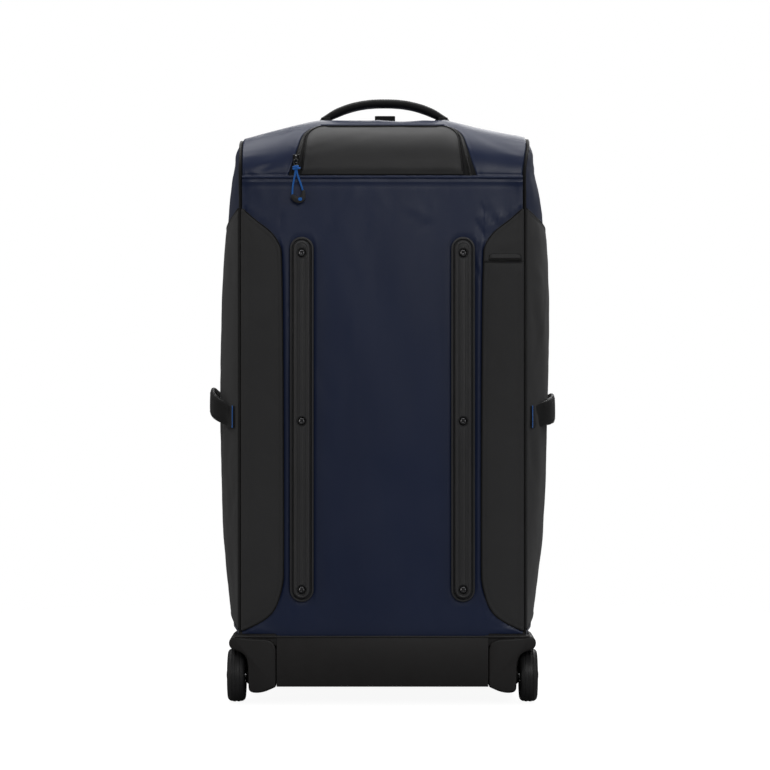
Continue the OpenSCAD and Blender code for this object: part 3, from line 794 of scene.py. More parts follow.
def moulded(name, colour, rough, grain_scale=900, depth=0.00012, strength=0.25, vary=0.08, edge_highlight=0.5,
            **uniform):
    """Moulded plastic or rubber with a fine grain, and a painted highlight that makes its sharp edges
    paler in patches.
    """
    s = Shader(name)
    base = s.tones(s.noise(11, 5), shade(colour, 1 - vary), shade(colour, 1 + vary))
    # Painted highlight: sharp edges, found by pointiness, are made paler in patches, as if light caught
    # the rims.
    edges = s.add("ShaderNodeNewGeometry").outputs["Pointiness"]
    edge_highlight_mask = s.math("MULTIPLY", s.range(edges, 0.52, 0.6, 0.0, edge_highlight), s.noise(60, 4))
    base = s.over(edge_highlight_mask, base, shade(colour, 2.2))
    scuffs = s.range(s.noise(40, 6, (1, 1, 0.2)), 0.3, 0.75, rough - 0.05, rough + 0.08)
    return s.done(base, scuffs, s.bump(s.noise(grain_scale, 2), strength, depth), **uniform)


def metal(name, colour, rough, stretch, **uniform):
    """Drawn or turned metal with fine lines along it."""
    s = Shader(name)
    lines = s.noise(900, 2, stretch)
    base = s.tones(s.noise(14, 3), shade(colour, 0.93), shade(colour, 1.05))
    gloss = s.range(lines, 0.3, 0.7, rough - 0.06, rough + 0.1)
    return s.done(base, gloss, s.bump(lines, 0.12, 0.0001), Metallic=1.0, **uniform)


def braid(name, colour):
    """Round braided cord: two slanting sets of strands."""
    s = Shader(name)
    where = s.add("ShaderNodeMapping", Vector=s.place.outputs["Object"], Rotation=(0, 0.7, 0))
    one = s.add("ShaderNodeTexWave", {"bands_direction": "X"}, Vector=where.outputs[0], Scale=330.0)
    other = s.add("ShaderNodeTexWave", {"bands_direction": "Z"}, Vector=where.outputs[0], Scale=330.0)
    strands = s.math("MULTIPLY", one.outputs["Fac"], other.outputs["Fac"])
    base = s.tones(strands, shade(colour, 0.8), shade(colour, 1.12), 0.0, 0.8)
    return s.done(base, 0.6, s.bump(strands, 0.5, 0.0003), Sheen_Weight=0.2)


NAVY = (0.0086, 0.0208, 0.0745)
BLACK = (0.0400, 0.0400, 0.0415)
NAVY_LINED = ("navy_fabric", "lining_fabric")
MATERIALS = {
    "navy_fabric": fabric("navy_fabric", NAVY, 0.41, 0.0011, 0.10, 0.0002, 0.16, 0.65,
                          Specular_IOR_Level=0.5, Coat_Weight=0.12, Coat_Roughness=0.35),
    "black_fabric": fabric("black_fabric", BLACK, 0.62, 0.0013, 0.10, 0.00025, 0.25, 0.5,
                           Specular_IOR_Level=0.45, Sheen_Weight=0.08, Sheen_Roughness=0.5),
    "grey_fabric": fabric("grey_fabric", (0.030, 0.030, 0.031), 0.5, 0.0013, 0.10, 0.00025, 0.25, 0.5,
                          Specular_IOR_Level=0.5, Sheen_Weight=0.1),
    "trim_fabric": fabric("trim_fabric", (0.0072, 0.0072, 0.0075), 0.55, 0.0016, 0.12, 0.0004, 0.45, 0.3,
                          Specular_IOR_Level=0.32, Sheen_Weight=0.05),
    "lining_fabric": fabric("lining_fabric", (0.028, 0.031, 0.042), 0.7, 0.0022, 0.08, 0.0003, 0.35, 0.3,
                            Sheen_Weight=0.2),
    "blue_cord": braid("blue_cord", (0.012, 0.210, 0.780)),
    "rail_plastic": moulded("rail_plastic", (0.047, 0.047, 0.049), 0.40, edge_highlight=0.6),
    "base_plastic": moulded("base_plastic", (0.0170, 0.0155, 0.0155), 0.48, 700, 0.0002, 0.35, edge_highlight=0.3),
    "gloss_black": moulded("gloss_black", (0.006, 0.006, 0.006), 0.12, 400, 0.00003, 0.1, edge_highlight=0.1,
                           Coat_Weight=0.5, Coat_Roughness=0.08),
    "tyre_rubber": moulded("tyre_rubber", (0.0185, 0.0185, 0.0195), 0.5, 600, 0.0002, 0.3, edge_highlight=0.5),
    "hub_plastic": moulded("hub_plastic", (0.05, 0.05, 0.052), 0.38, 900, edge_highlight=0.4),
    "tube_aluminium": metal("tube_aluminium", (0.62, 0.63, 0.65), 0.3, (6, 6, 0.04)),
    "steel": metal("steel", (0.55, 0.55, 0.56), 0.25, (1, 1, 1)),
    "dark_chrome": metal("dark_chrome", (0.13, 0.13, 0.135), 0.17, (1, 1, 1)),
}


# ---- Camera, light and floor

def make_camera():
    data = bpy.data.cameras.new("camera")
    data.lens = 122
    data.sensor_width = 36
    camera = in_scene("camera", data)
    camera.location = (0.0034, -3.647, 0.4275)
    camera.rotation_euler = (math.pi / 2, 0, 0)
    bpy.context.scene.camera = camera


def softbox(name, place, aim, width, height, watts, colour=(1, 1, 1)):
    data = bpy.data.lights.new(name, "AREA")
    data.shape = "RECTANGLE"
    data.size = width
    data.size_y = height
    data.energy = watts
    data.color = colour
    lamp = in_scene(name, data)
    lamp.location = place
    lamp.rotation_euler = (Vector(aim) - Vector(place)).to_track_quat("-Z", "Y").to_euler()


def make_studio():
    scene = bpy.context.scene
    scene.view_settings.view_transform = "Standard"
    world = bpy.data.worlds.new("studio")
    world.use_nodes = True
    scene.world = world
    tree = world.node_tree
    tree.nodes.clear()
    seen = tree.nodes.new("ShaderNodeBackground")
    seen.inputs[0].default_value = (1, 1, 1, 1)
    ambient = tree.nodes.new("ShaderNodeBackground")
    ambient.inputs[0].default_value = (1, 1, 1, 1)
    ambient.inputs[1].default_value = 0.10
    ray = tree.nodes.new("ShaderNodeLightPath")
    pick = tree.nodes.new("ShaderNodeMixShader")
    out = tree.nodes.new("ShaderNodeOutputWorld")
    tree.links.new(ray.outputs["Is Camera Ray"], pick.inputs[0])
    tree.links.new(ambient.outputs[0], pick.inputs[1])
    tree.links.new(seen.outputs[0], pick.inputs[2])
    tree.links.new(pick.outputs[0], out.inputs[0])
    bag = (0, 0, 0.5)
    softbox("over", (0, 0.45, 2.6), (0, 0.15, 0.75), 3.4, 1.9, 42)
    softbox("left", (-2.6, -1.2, 1.1), bag, 0.7, 2.2, 9, (1, 0.97, 0.92))
    softbox("right", (2.6, -1.4, 1.1), bag, 0.7, 2.2, 5)
    softbox("front", (0.9, -4.2, 2.3), bag, 2.0, 1.6, 34)
    softbox("behind", (0.6, 3.2, 2.2), bag, 2.4, 1.8, 40)


FLOOR_R_m = 1.6


def make_floor():
    """A pale sweep that the camera sees as white but for the bag's own soft shadow."""
    s = Shader("pale_floor")
    shader = s.add("ShaderNodeBsdfPrincipled", Roughness=0.7)
    shader.inputs["Base Color"].default_value = (0.28, 0.28, 0.28, 1)
    shader.inputs["Specular IOR Level"].default_value = 0.1
    glow = s.add("ShaderNodeEmission", Strength=0.93)
    both = s.add("ShaderNodeAddShader", _0=shader.outputs[0], _1=glow.outputs[0])
    seen = s.add("ShaderNodeLightPath").outputs["Is Camera Ray"]
    pick = s.add("ShaderNodeMixShader", _0=seen, _1=shader.outputs[0], _2=both.outputs[0])
    far = s.add("ShaderNodeVectorMath", {"operation": "LENGTH"}, _0=s.place.outputs["Object"])
    fade = s.range(far.outputs["Value"], 0.5, 1.5, 0.0, 1.0)
    clear = s.add("ShaderNodeBsdfTransparent")
    edge = s.add("ShaderNodeMixShader", _0=fade, _1=pick.outputs[0], _2=clear.outputs[0])
    s.add("ShaderNodeOutputMaterial", _0=edge.outputs[0])
    mesh = bpy.data.meshes.new("floor")
    ring = [(FLOOR_R_m * math.cos(a), FLOOR_R_m * math.sin(a), -0.0002)
            for a in around(96)]
    mesh.from_pydata(ring, [], [tuple(range(96))])
    mesh.materials.append(s.material)
    in_scene("floor", mesh)


# ---- Pull cord on the flap's zip

CORD_R = 1.25
CORD_LEFT_m = [(-0.1163, -0.1554, 0.715), (-0.1167, -0.1555, 0.711), (-0.1175, -0.1558, 0.706),
               (-0.1188, -0.156, 0.700), (-0.1198, -0.156, 0.694), (-0.1204, -0.156, 0.688),
               (-0.1207, -0.156, 0.6795)]
CORD_RIGHT_m = [(-0.1147, -0.1554, 0.715), (-0.1142, -0.1555, 0.711), (-0.1128, -0.1558, 0.706),
                (-0.1106, -0.156, 0.700), (-0.1084, -0.156, 0.694), (-0.1066, -0.156, 0.688),
                (-0.1052, -0.156, 0.681)]


def cord_curve(name, points_m):
    """The cord's centreline, eased between its points, with a round section."""
    line = softened(points_m, 2)
    data = bpy.data.curves.new(name, "CURVE")
    data.dimensions = "3D"
    data.bevel_depth = CORD_R * MM
    data.bevel_resolution = 4
    spline = data.splines.new("POLY")
    spline.points.add(len(line) - 1)
    for point, place in zip(spline.points, line):
        point.co = (*place, 1)
    spline.use_smooth = True
    data.materials.append(MATERIALS["blue_cord"])
    piece = in_scene(name, data)
    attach(piece, "flap_slider")
    return piece


def make_pull_cord():
    outline = rounded([(-122.6, 682.4), (-122.4, 676.2), (-117.0, 671.6), (-109.6, 669.6),
                       (-102.8, 675.4), (-102.9, 683.5), (-103.6, 688.0), (-107.6, 688.6),
                       (-108.2, 683.4), (-111.6, 679.2), (-115.4, 679.4), (-118.6, 683.0)], 2)
    tab_mesh = prism(outline, -157.6, -153.4, 0.9)
    inlay = prism(rounded([(-112.6, 678.4), (-112.6, 674.0), (-107.4, 674.0), (-107.4, 678.4)], 2),
                  -158.1, -156.0, 0.3)
    shape = joined([tab_mesh, inlay])
    kinds = [0] * len(tab_mesh[1]) + [1] * len(inlay[1])
    tab = new_object("fine_pull_tab", shape, ("base_plastic", "blue_cord"), kinds,
                     body="flap_slider", replaces=("pull_tab",))
    left = cord_curve("cord_strand_left", CORD_LEFT_m)
    right = cord_curve("cord_strand_right", CORD_RIGHT_m)
    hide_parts("pull_cord_left")
    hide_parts("pull_cord_right")


# ---- Back panel, wings and the pocket slit

WING_EDGE = [(188, 98), (170, 106), (153, 116), (142, 130), (134, 157), (132, 175),
             (134, 603), (139, 618), (147, 630), (156, 638), (170, 648), (188, 664)]
WING_LINE = softened(WING_EDGE, 3)
WING_HIGH = 1.7
SLIT_Z = 592


def wing_in(z):
    return np.interp(z, WING_LINE[:, 1], WING_LINE[:, 0])


def rail_distance(x, z):
    """How far a place is outside the nearer rail's outline; negative inside it."""
    r = RAIL_W / 2
    up = np.clip(z, RAIL_LOW + r, RAIL_TOP - r)
    return np.hypot(np.abs(x) - RAIL_X, z - up) - r


def make_back_panel():
    x = stations(-BAND_HALF, BAND_HALF, 5.5,
                 also=(-135, -RAIL_X - 18, -RAIL_X + 18, RAIL_X - 18, RAIL_X + 18, 135))
    z = stations(SHELL_TOP - 3, BACK_BEND_Z, 5.5)
    xs, zs = np.meshgrid(x, z)
    lift = smooth(np.abs(xs), 138, 143) * 5.4 * np.clip(1 - (zs - SHELL_TOP + 3) / 60, 0, 1)
    grid = xyz(xs, BACK_Y, zs + lift)
    zs = grid[..., 2]
    wing = gap_to(np.abs(xs), zs, WING_LINE)
    top = BACK_BEND_Z - zs
    rail = rail_distance(xs, zs)
    height = 0.7 * np.cos(np.clip(xs / 92, -1, 1) * math.pi / 2) ** 1.5 * smooth(zs, 90, 200)
    height += 0.34 * waves(11, 55, 170, 0, 1.5)(xs, zs * 0.55)
    height += 0.10 * waves(12, 16, 40, 0, 1.2)(xs, zs * 0.5)
    height += groove(wing, 0, 1.5, 1.5) + 0.35 * np.exp(-((wing - 4.5) / 2.4) ** 2)
    height += puckers(zs + xs * 0.4, wing, 13, 10, 10, 0.45)
    height += folds(xs, zs,
        (17, 16, (122, 136, 570, 645), -0.8, 0.9, (12, 34), (1.6, 3.0), 0.8),
        (16, 9, (138, 160, 625, 668), -1.1, 0.8, (18, 45), (2.0, 4.5), 0.9),
    )
    height += creases(-xs, zs, 14, 7, (130, 160, 615, 665), -1.1, 0.9, (15, 35), (2.0, 4.0), 0.4)
    height += -0.8 * np.exp(-np.clip(rail, 0, None) / 1.6) + 0.25 * np.exp(-((rail - 5) / 3) ** 2)
    height += -1.2 * np.exp(-top / 2.2) + 0.5 * np.exp(-((top - 6) / 2.2) ** 2)
    height += groove(top, 9.4, 0.4, 1.1)
    height += puckers(xs, top - 4, 15, 12, 14, 0.35) * smooth(top, 4, 6)
    height += folds(xs, zs,
        (18, 14, (-170, 170, 640, 695), UPRIGHT, 2.2, (25, 90), (3, 7), 0.35),
        (19, 16, (-95, 95, 150, 640), UPRIGHT, 0.8, (60, 200), (6, 16), 0.22),
        (20, 8, (-160, 160, 100, 150), UPRIGHT, 1.6, (25, 60), (3, 7), 0.4),
    )
    height += 1.1 * np.exp(-(((np.abs(xs) - 180) / 9) ** 2 + ((zs - 700) / 6) ** 2))
    height += 0.9 * np.exp(-(((np.abs(xs) - 165) / 14) ** 2 + ((zs - 99) / 5) ** 2))
    height = np.where(rail < -2, np.minimum(height, 0.2), height)
    cloth("back_fabric", grid, height, PANEL_T - 0.2, NAVY_LINED, replaces=("back_panel",))
    across = np.linspace(-BAND_HALF, BAND_HALF, 180)
    swell = 1 + 0.10 * waves(191, 9, 24)(across, 0)
    line = xyz(across, BACK_Y + 0.35, BACK_BEND_Z + 0.1)
    section = oval(4.6, 4.6, 12)[None] * swell[:, None, None]
    new_object("seam_ridge", rod(line, section, (0, -1, 0)), "navy_fabric")


def wing_grid(side):
    z = stations(WING_EDGE[0][1] + 0.8, WING_EDGE[-1][1] - 0.8, 5.0,
                 also=(SLIT_Z,) if side > 0 else ())
    start = wing_in(z)
    span = BAND_HALF + 1.6 - start
    columns = [0, 0.004, 0.014, 0.03, 0.05, 0.075, 0.1, 0.13, 0.18, 0.25, 0.33, 0.42, 0.5, 0.6, 0.7, 0.8,
               0.87, 0.92, 0.95, 0.97, 0.985, 0.995, 1]
    u = np.array(columns)[None, :]
    xs = start[:, None] + u * span[:, None]
    zs = np.repeat(z[:, None], len(columns), 1)
    return xyz(side * xs, BACK_Y, zs)


def make_wing(side):
    grid = wing_grid(side)
    xs, zs = np.abs(grid[..., 0]), grid[..., 2]
    edge = gap_to(xs, zs, WING_LINE)
    outer = BAND_HALF + 1.6 - xs
    height = WING_HIGH + hem(edge, 1.9) + hem(outer, 2.6) + groove(outer, 7.6, 0.5, 1.2)
    height += 0.45 * np.exp(-((outer - 4.2) / 1.8) ** 2)
    height += groove(edge, 5.2, 0.35, 0.9) + 0.9 * np.clip(np.minimum(edge, outer) / 22, 0, 1) ** 0.7
    height += 0.32 * waves(21 + side, 45, 130, 0, 1.6)(xs, zs * 0.5)
    height += 0.07 * waves(23 + side, 12, 30, 0, 1.4)(xs, zs * 0.6)
    height += puckers(zs, outer, 25 + side, 13, 12, 0.28)
    height += creases(xs, zs, 28 + side, 12, (135, 188, 120, 640), UPRIGHT, 1.2, (30, 110), (4, 9), 0.35)
    if side > 0:
        below = SLIT_Z - zs
        height += groove(below, 0, 1.7, 1.0)
        welt = np.array(rounded([(142, 592), (142, 603), (187, 603), (187, 592)], 2))
        height += -1.0 * np.exp(-(gap_to(xs, zs, welt) / 1.1) ** 2)
        height += 0.55 * smooth(-below, -1.5, 2.5) * np.exp(-np.clip(-below, 0, None) / 16)
        height += puckers(xs, np.clip(below, 0, None), 27, 9, 12, 0.5) * (below > 0)
        height += 0.4 * np.exp(-((zs - 616) / 7) ** 2 - ((xs - 160) / 22) ** 2)
    name = "back_wing_" + WORD[side]
    wing = cloth(name, grid, height, 0.05, "black_fabric", replaces=once(side, "back_wings"))
    along = unit(np.gradient(WING_LINE, axis=0))
    inset = WING_LINE + 5.2 * np.stack([along[:, 1], -along[:, 0]], -1)
    inset = inset[inset[:, 0] < BAND_HALF - 4]
    path = xyz(side * inset[:, 0], BACK_Y - 2.4, inset[:, 1])
    stitched(name + "_stitches", wing, [path], "grey_fabric", radius=0.38)
    line = resampled(WING_LINE[WING_LINE[:, 0] < BAND_HALF - 0.5], 3)
    path = xyz(side * line[:, 0], BACK_Y - 0.7, line[:, 1])
    new_object(name + "_binding", rod(path, oval(1.7, 1.8, 8), (0, -1, 0)), "trim_fabric")


def pad_on_wing(name, x0, x1, z0, z1, lift, rise, slot, **more):
    """A low pad with round ends on the right wing; its low edge stands out most."""
    u = np.linspace(-1, 1, 34)[None, :]
    v = np.linspace(-1, 1, 13)[:, None]
    xs = (x0 + x1) / 2 + u * (x1 - x0) / 2 + 0 * v
    taper = np.sqrt(np.clip(1 - np.abs(u) ** 11, 0, 1))
    zs = z0 + (v + 1) / 2 * (z1 - z0) * (0.35 + 0.65 * taper)
    grid = xyz(xs, BACK_Y - lift, zs)
    height = rise * (0.75 - 0.35 * v) * np.clip(1 - np.abs(v) ** 6, 0, 1) ** 0.5 * taper
    height = height + 0.05 * rise * waves(31, 6, 14, 0, 0.4)(xs, zs)
    cloth(name, grid, height, 0.7, slot, **more)


def make_pocket_welt():
    """The card pocket in the right wing: a dark strip of painted shade, standing for the slit's opening,
    under a rounded welt.
    """
    # Painted shade: a flat dark strip where the slit's opening lies in shadow.
    pad_on_wing("card_pocket_slit_shade", 142.0, 186.5, SLIT_Z + 1.6, 603.6, 2.8, 0.5, "trim_fabric")
    pad_on_wing("card_pocket_welt", 143.4, 185.2, SLIT_Z + 4.6, 603.0, 3.0, 2.3, "black_fabric",
                replaces=("id_pocket",))


# ---- Band over the shoulders and crest

FRONT_SEAM = 2.6


def make_band():
    angles = np.concatenate([flap_angles(), [60.4, 61.4, 62.4, 63.0, 63.35, STRIP_TOP]])
    fine = np.degrees(np.array([0.3, 0.9, 1.8, 3, 4.5, 6.5]) / BACK_R)
    angles = np.unique(np.concatenate([angles, fine]))
    upper = np.degrees(np.array([0.3, 0.9, 1.8, 3.2, 5, 8]) / BACK_R) + STRIP_TOP
    rest = np.concatenate([upper, np.linspace(STRIP_TOP + 8, 90, 10)])
    s = np.concatenate([angles / 90, rest / 90, np.linspace(1, 2, 24)[1:], np.arange(2.02, 3, 0.035)])
    seam_rows = FRONT_SEAM + np.array([-0.03, -0.018, -0.009, 0, 0.009, 0.018, 0.03])
    s = np.unique(np.round(np.concatenate([s, seam_rows, [3]]), 6))
    half_steps = np.array([0, 0.003, 0.01, 0.02, 0.035, 0.055, 0.08, 0.12, 0.17, 0.24, 0.32, 0.4,
                           0.5, 0.6, 0.7, 0.78, 0.85, 0.9, 0.94, 0.965, 0.98, 0.99, 0.996, 1])
    inner = np.linspace(-1, 1, 31)
    edge = strip_edge(np.minimum(s * 90, STRIP_TOP))[:, None] + 0.35
    right = edge + half_steps * (BAND_HALF - edge)
    xs = np.concatenate([-right[:, ::-1], inner[1:-1] * edge, right], 1)
    grid = band(s[:, None], xs)
    run = np.repeat(band_run(s)[:, None], xs.shape[1], 1)
    hole_s = angles / 90
    hole = np.stack([strip_edge(hole_s * 90) + 0.35, band_run(hole_s)], -1)
    hole = np.concatenate([hole, [[0, band_run(STRIP_TOP / 90)]]])
    hole_gap = gap_to(np.abs(xs), run, hole)
    ends = BAND_HALF - np.abs(xs)
    seam = band_run(FRONT_SEAM)
    height = hem(hole_gap, 1.5) * 0.9 + hem(ends, 2.2) + hem(run, 1.7)
    height += groove(hole_gap, 4.4, 0.3, 0.9) + groove(run, 5.0, 0.4, 1.0)
    height += groove(np.abs(run - seam), 0, 1.3, 1.2) + groove(np.abs(run - seam), 4.5, 0.3, 0.9)
    height += 0.8 * waves(41, 70, 190)(xs, run) * smooth(np.minimum(hole_gap, ends), 4, 30)
    height += 0.22 * waves(42, 22, 55)(xs, run) * smooth(np.minimum(hole_gap, ends), 3, 20)
    height += puckers(xs, run, 43, 11, 12, 0.5) + puckers(run, ends, 44, 14, 16, 0.5)
    height += puckers(xs + run, hole_gap, 45, 12, 10, 0.35)
    height += puckers(xs, np.abs(run - seam), 46, 12, 10, 0.35)
    soft = smooth(np.minimum(hole_gap, ends), 2, 14)
    height += soft * folds(xs, run,
        (47, 30, (-190, 190, 5, 230), UPRIGHT, 2.4, (30, 120), (4, 11), 0.8),
        (48, 22, (-190, 190, 230, 390), 0, 2.4, (40, 140), (5, 12), 0.9),
    )
    rows = (s[:-1] < STRIP_TOP / 90 - 1e-4)[:, None]
    middle = np.zeros(xs.shape[1] - 1, bool)
    middle[len(half_steps) - 1:len(half_steps) - 1 + len(inner) - 1] = True
    keep = ~(rows & middle[None, :])
    cloth("crest_fabric", grid, height, PANEL_T - 0.2, NAVY_LINED, keep,
          replaces=("back_shoulders", "top_panel"))


# ---- Trolley flap, its zip and slider

def flap_rows():
    """Angles of the flap's rows: it starts a little above the bend's foot."""
    return np.unique(np.concatenate([[2.3, 2.5, 2.9, 3.5], flap_angles()[2:]]))


def make_flap():
    a = flap_rows()
    columns = np.array([-1, -0.998, -0.993, -0.985, -0.97, -0.95, -0.92, -0.88, -0.82, -0.74, -0.64,
                        -0.52, -0.39, -0.26, -0.13])
    u = np.concatenate([columns, [0], -columns[::-1]])
    xs = u[None, :] * (flap_edge(a)[:, None] - 0.4)
    grid = band(a[:, None] / 90, xs)
    run = np.repeat(band_run(a / 90)[:, None], len(u), 1)
    line = np.stack([flap_edge(a) - 0.4, band_run(a / 90)], -1)
    line = np.concatenate([[[0, run[0, 0]]], line, [[0, band_run(FLAP_TOP / 90)]]])
    edge = gap_to(np.abs(xs), run, line)
    height = hem(edge, 1.6) + 1.1 * smooth(edge, 2, 26) + groove(edge, 5, 0.3, 0.9)
    height += 0.45 * waves(51, 60, 150, 0, 1.4)(xs, run) * smooth(edge, 2, 20)
    height += puckers(xs + run * 0.8, edge, 52, 12, 9, 0.3)
    height += puckers(xs, run, 53, 12, 12, 0.3) - 1.3 * (1 - smooth(run, 4, 12))
    soft = smooth(edge, 2, 14)
    height += soft * creases(xs, run, 54, 12, (-95, 95, 5, 85), 0, 2.0, (40, 120), (4, 10), 0.5)
    flap = cloth("flap_fabric", grid, height, 2.6, ("grey_fabric", "lining_fabric"), body=None)
    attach(flap, "flap")
    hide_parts("handle_flap")
    stands_flat(flap)


def stands_flat(piece):
    """Gives the piece a mesh of its own."""
    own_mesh(piece)


def off_bend(path):
    """Unit directions away from the axis of the back bend."""
    out = path - np.array([0, BACK_BEND_Y, BACK_BEND_Z])
    out[:, 0] = 0
    return unit(out)


def flap_outline(a, grow):
    """The flap's edge as a line up one side, over the top and down the other."""
    half = flap_edge(a) + grow
    side = [band(t / 90, h) for t, h in zip(a, half)]
    top_angle = FLAP_TOP + math.degrees(grow / BACK_R)
    top = [band(top_angle / 90, x) for x in np.linspace(half[-1] - 4, -half[-1] + 4, 24)]
    other = [p * np.array([-1, 1, 1]) for p in side[::-1]]
    return np.array(side + top + other)


def make_flap_binding():
    rows = flap_rows()
    path = flap_outline(rows[rows > 4.5], -2.0)
    shape = rod(path, oval(2.0, 2.2, 8), off_bend(path))
    binding = new_object("flap_binding", shape, "trim_fabric", body="flap")
    stands_flat(binding)


def make_flap_strip():
    """The tape that the flap closes on: down both sides, and over the top."""
    angles = flap_angles()
    parts = []
    for side in BOTH:
        cols = np.linspace(0, 1, 13)[None, :]
        inner = flap_edge(angles)[:, None] + 0.3
        xs = side * (inner + cols * (strip_edge(angles)[:, None] - inner))
        grid = band(angles[:, None] / 90, xs)
        rib = 0.9 * np.exp(-(((cols - 0.5) * (strip_edge(angles)[:, None] - inner)) / 1.6) ** 2)
        height = -1.2 + rib + 0 * xs
        normal = outward(grid)
        outer = grid + normal * height[..., None]
        parts.append(slab_mesh(outer, grid - normal * 3.0)[:2])
    top_angles = np.array([FLAP_TOP - 0.2, FLAP_TOP + 1, FLAP_TOP + 2.2, STRIP_TOP])
    xs = np.linspace(-1, 1, 25)[None, :] * (strip_edge(FLAP_TOP) + 0 * top_angles[:, None])
    grid = band(top_angles[:, None] / 90, xs)
    normal = outward(grid)
    parts.append(slab_mesh(grid - normal * 1.4, grid - normal * 3.0)[:2])
    new_object("flap_zip_tape", joined(parts), "trim_fabric", replaces=("flap_zip",))


def make_flap_teeth():
    angles = flap_angles()
    middle = (flap_edge(angles) + 0.3 + strip_edge(angles)) / 2
    rows = []
    for side in BOTH:
        line = band(angles / 90, side * middle)
        out = off_bend(line)
        line = line + out * -0.35
        spots = resampled(np.concatenate([line, out], 1), 2.0)
        rows.append(beads_on(spots[:, :3], spots[:, 3:], 4.4, 0.75, across=True))
    new_object("flap_zip_teeth", joined(rows), "gloss_black", sharp=70)


SLIDER_ANGLE = 18
SLIDER_X = -116.0


def make_flap_slider():
    place = band(SLIDER_ANGLE / 90, SLIDER_X)
    turn = Matrix.Rotation(math.radians(90 - SLIDER_ANGLE), 3, "X")
    lean = math.radians(SLIDER_ANGLE)
    up = np.array([0, math.sin(lean), math.cos(lean)])
    out = np.array([0, -math.cos(lean), math.sin(lean)])
    parts = [
        block((8.4, 13, 2.6), place + out * 0.9 + up * 0.5, 1.6, turn),
        block((5.6, 9.5, 1.4), place + out * 2.8 + up * 1.5, 0.8, turn),
    ]
    for side in BOTH:
        rail = [place + out * 2.0 + up * t + np.array([side * 3.4, 0, 0]) for t in np.linspace(-5, 6, 8)]
        parts.append(rod(rail, oval(1.3, 1.6, 8), out))
    arch = [place + out * (2.6 + 2.6 * math.sin(t)) + up * (4.5 * math.cos(t) + 0.6)
            for t in np.linspace(0, math.pi, 11)]
    parts.append(rod(arch, oval(1.3, 2.8, 8), (1, 0, 0)))
    loop = [np.array([SLIDER_X + 3.0 * math.cos(t), 0, 0]) + place * np.array([0, 1, 1]) + out * 3.6
            + up * (-5.4 + 4.4 * math.sin(t)) for t in around(19)]
    parts.append(rod(loop, oval(1.5, 1.4, 8), out, closed=True))
    shape = joined(parts)
    new_object("fine_flap_slider", shape, "gloss_black", body="flap_slider", replaces=("flap_slider",))


def make_cord_knot():
    """Two turns of cord through the slider's loop, with both ends coming out of them."""
    knot = []
    for z, wide, shift in ((719.6, 3.3, -0.6), (717.0, 4.4, 0.5)):
        turn_path = [(-115.6 + shift + wide * math.cos(t), -156.6 + 2.1 * math.sin(t),
                      z + 0.5 * math.cos(t)) for t in around(17)]
        knot.append(rod(turn_path, oval(2.5, 2.5, 8), (0, 0, 1), closed=True))
    for side in BOTH:
        leg = [(-115.5 + side * 0.9, -157.0, 720.5), (-115.5 + side * 1.3, -158.2, 718),
               (-115.5 + side * 0.9, -156.6, 714.6)]
        knot.append(rod(softened(leg, 2), oval(2.4, 2.4, 8), (1, 0, 0)))
    new_object("cord_knot", joined(knot), "blue_cord", body="flap_slider")


# ---- Sides

OVERLAY_TOP = 643
OVERLAY_TOP_RISE = 21
OVERLAY_LOW = 114
OVERLAY_LOW_FALL = 14
SIDE_RIM = np.array([0, 0.004, 0.012, 0.025, 0.04, 0.06, 0.085])
SIDE_V = np.concatenate([-1 + SIDE_RIM, np.linspace(-0.88, 0.88, 33), 1 - SIDE_RIM[::-1]])


def make_side(side):
    mirror = np.array([side, 1, 1])
    straight = np.linspace(SIDE_LOW - SKIRT, BACK_BEND_Z, 58)
    curve = BACK_BEND_Z + (SIDE_HIGH - BACK_BEND_Z) * np.sin(np.linspace(0, math.pi / 2, 18))[1:]
    z = np.concatenate([straight, curve])
    grid = side_point(z[:, None], SIDE_V[None, :], side)
    grid[..., 2] += (FRAME_DROP - CREST_DROP[side]) * smooth(grid[..., 2], 660, SIDE_HIGH)
    ys, zs = grid[..., 1], grid[..., 2]
    edge = margin(grid, "lrt")
    overlay_top = OVERLAY_TOP + OVERLAY_TOP_RISE * SIDE_V[None, :] ** 2
    rise = zs - overlay_top
    height = hem(edge, 2.0) + 0.8 * waves(61 + side, 60, 150)(ys, zs) * smooth(edge, 3, 30)
    height += 0.25 * waves(63 + side, 20, 45)(ys, zs) * smooth(edge, 3, 15)
    height += puckers(zs + ys * 0.3, edge, 65 + side, 12, 14, 0.5)
    height += puckers(ys, np.clip(rise, 0, None), 67 + side, 12, 12, 0.5)
    patch = (-120, 120, 650, 745)
    height += smooth(edge, 2, 16) * creases(ys, zs, 69 + side, 16, patch, 0, 2.4, (40, 120), (4, 10))
    height = np.where((zs < overlay_top) & (zs > OVERLAY_LOW), np.minimum(height, 0.7), height)
    word = WORD[side]
    cloth("side_fabric_" + word, grid * mirror, height, PANEL_T - 0.4, NAVY_LINED,
          replaces=("side_panel_" + word,))
    make_overlay(side, word)


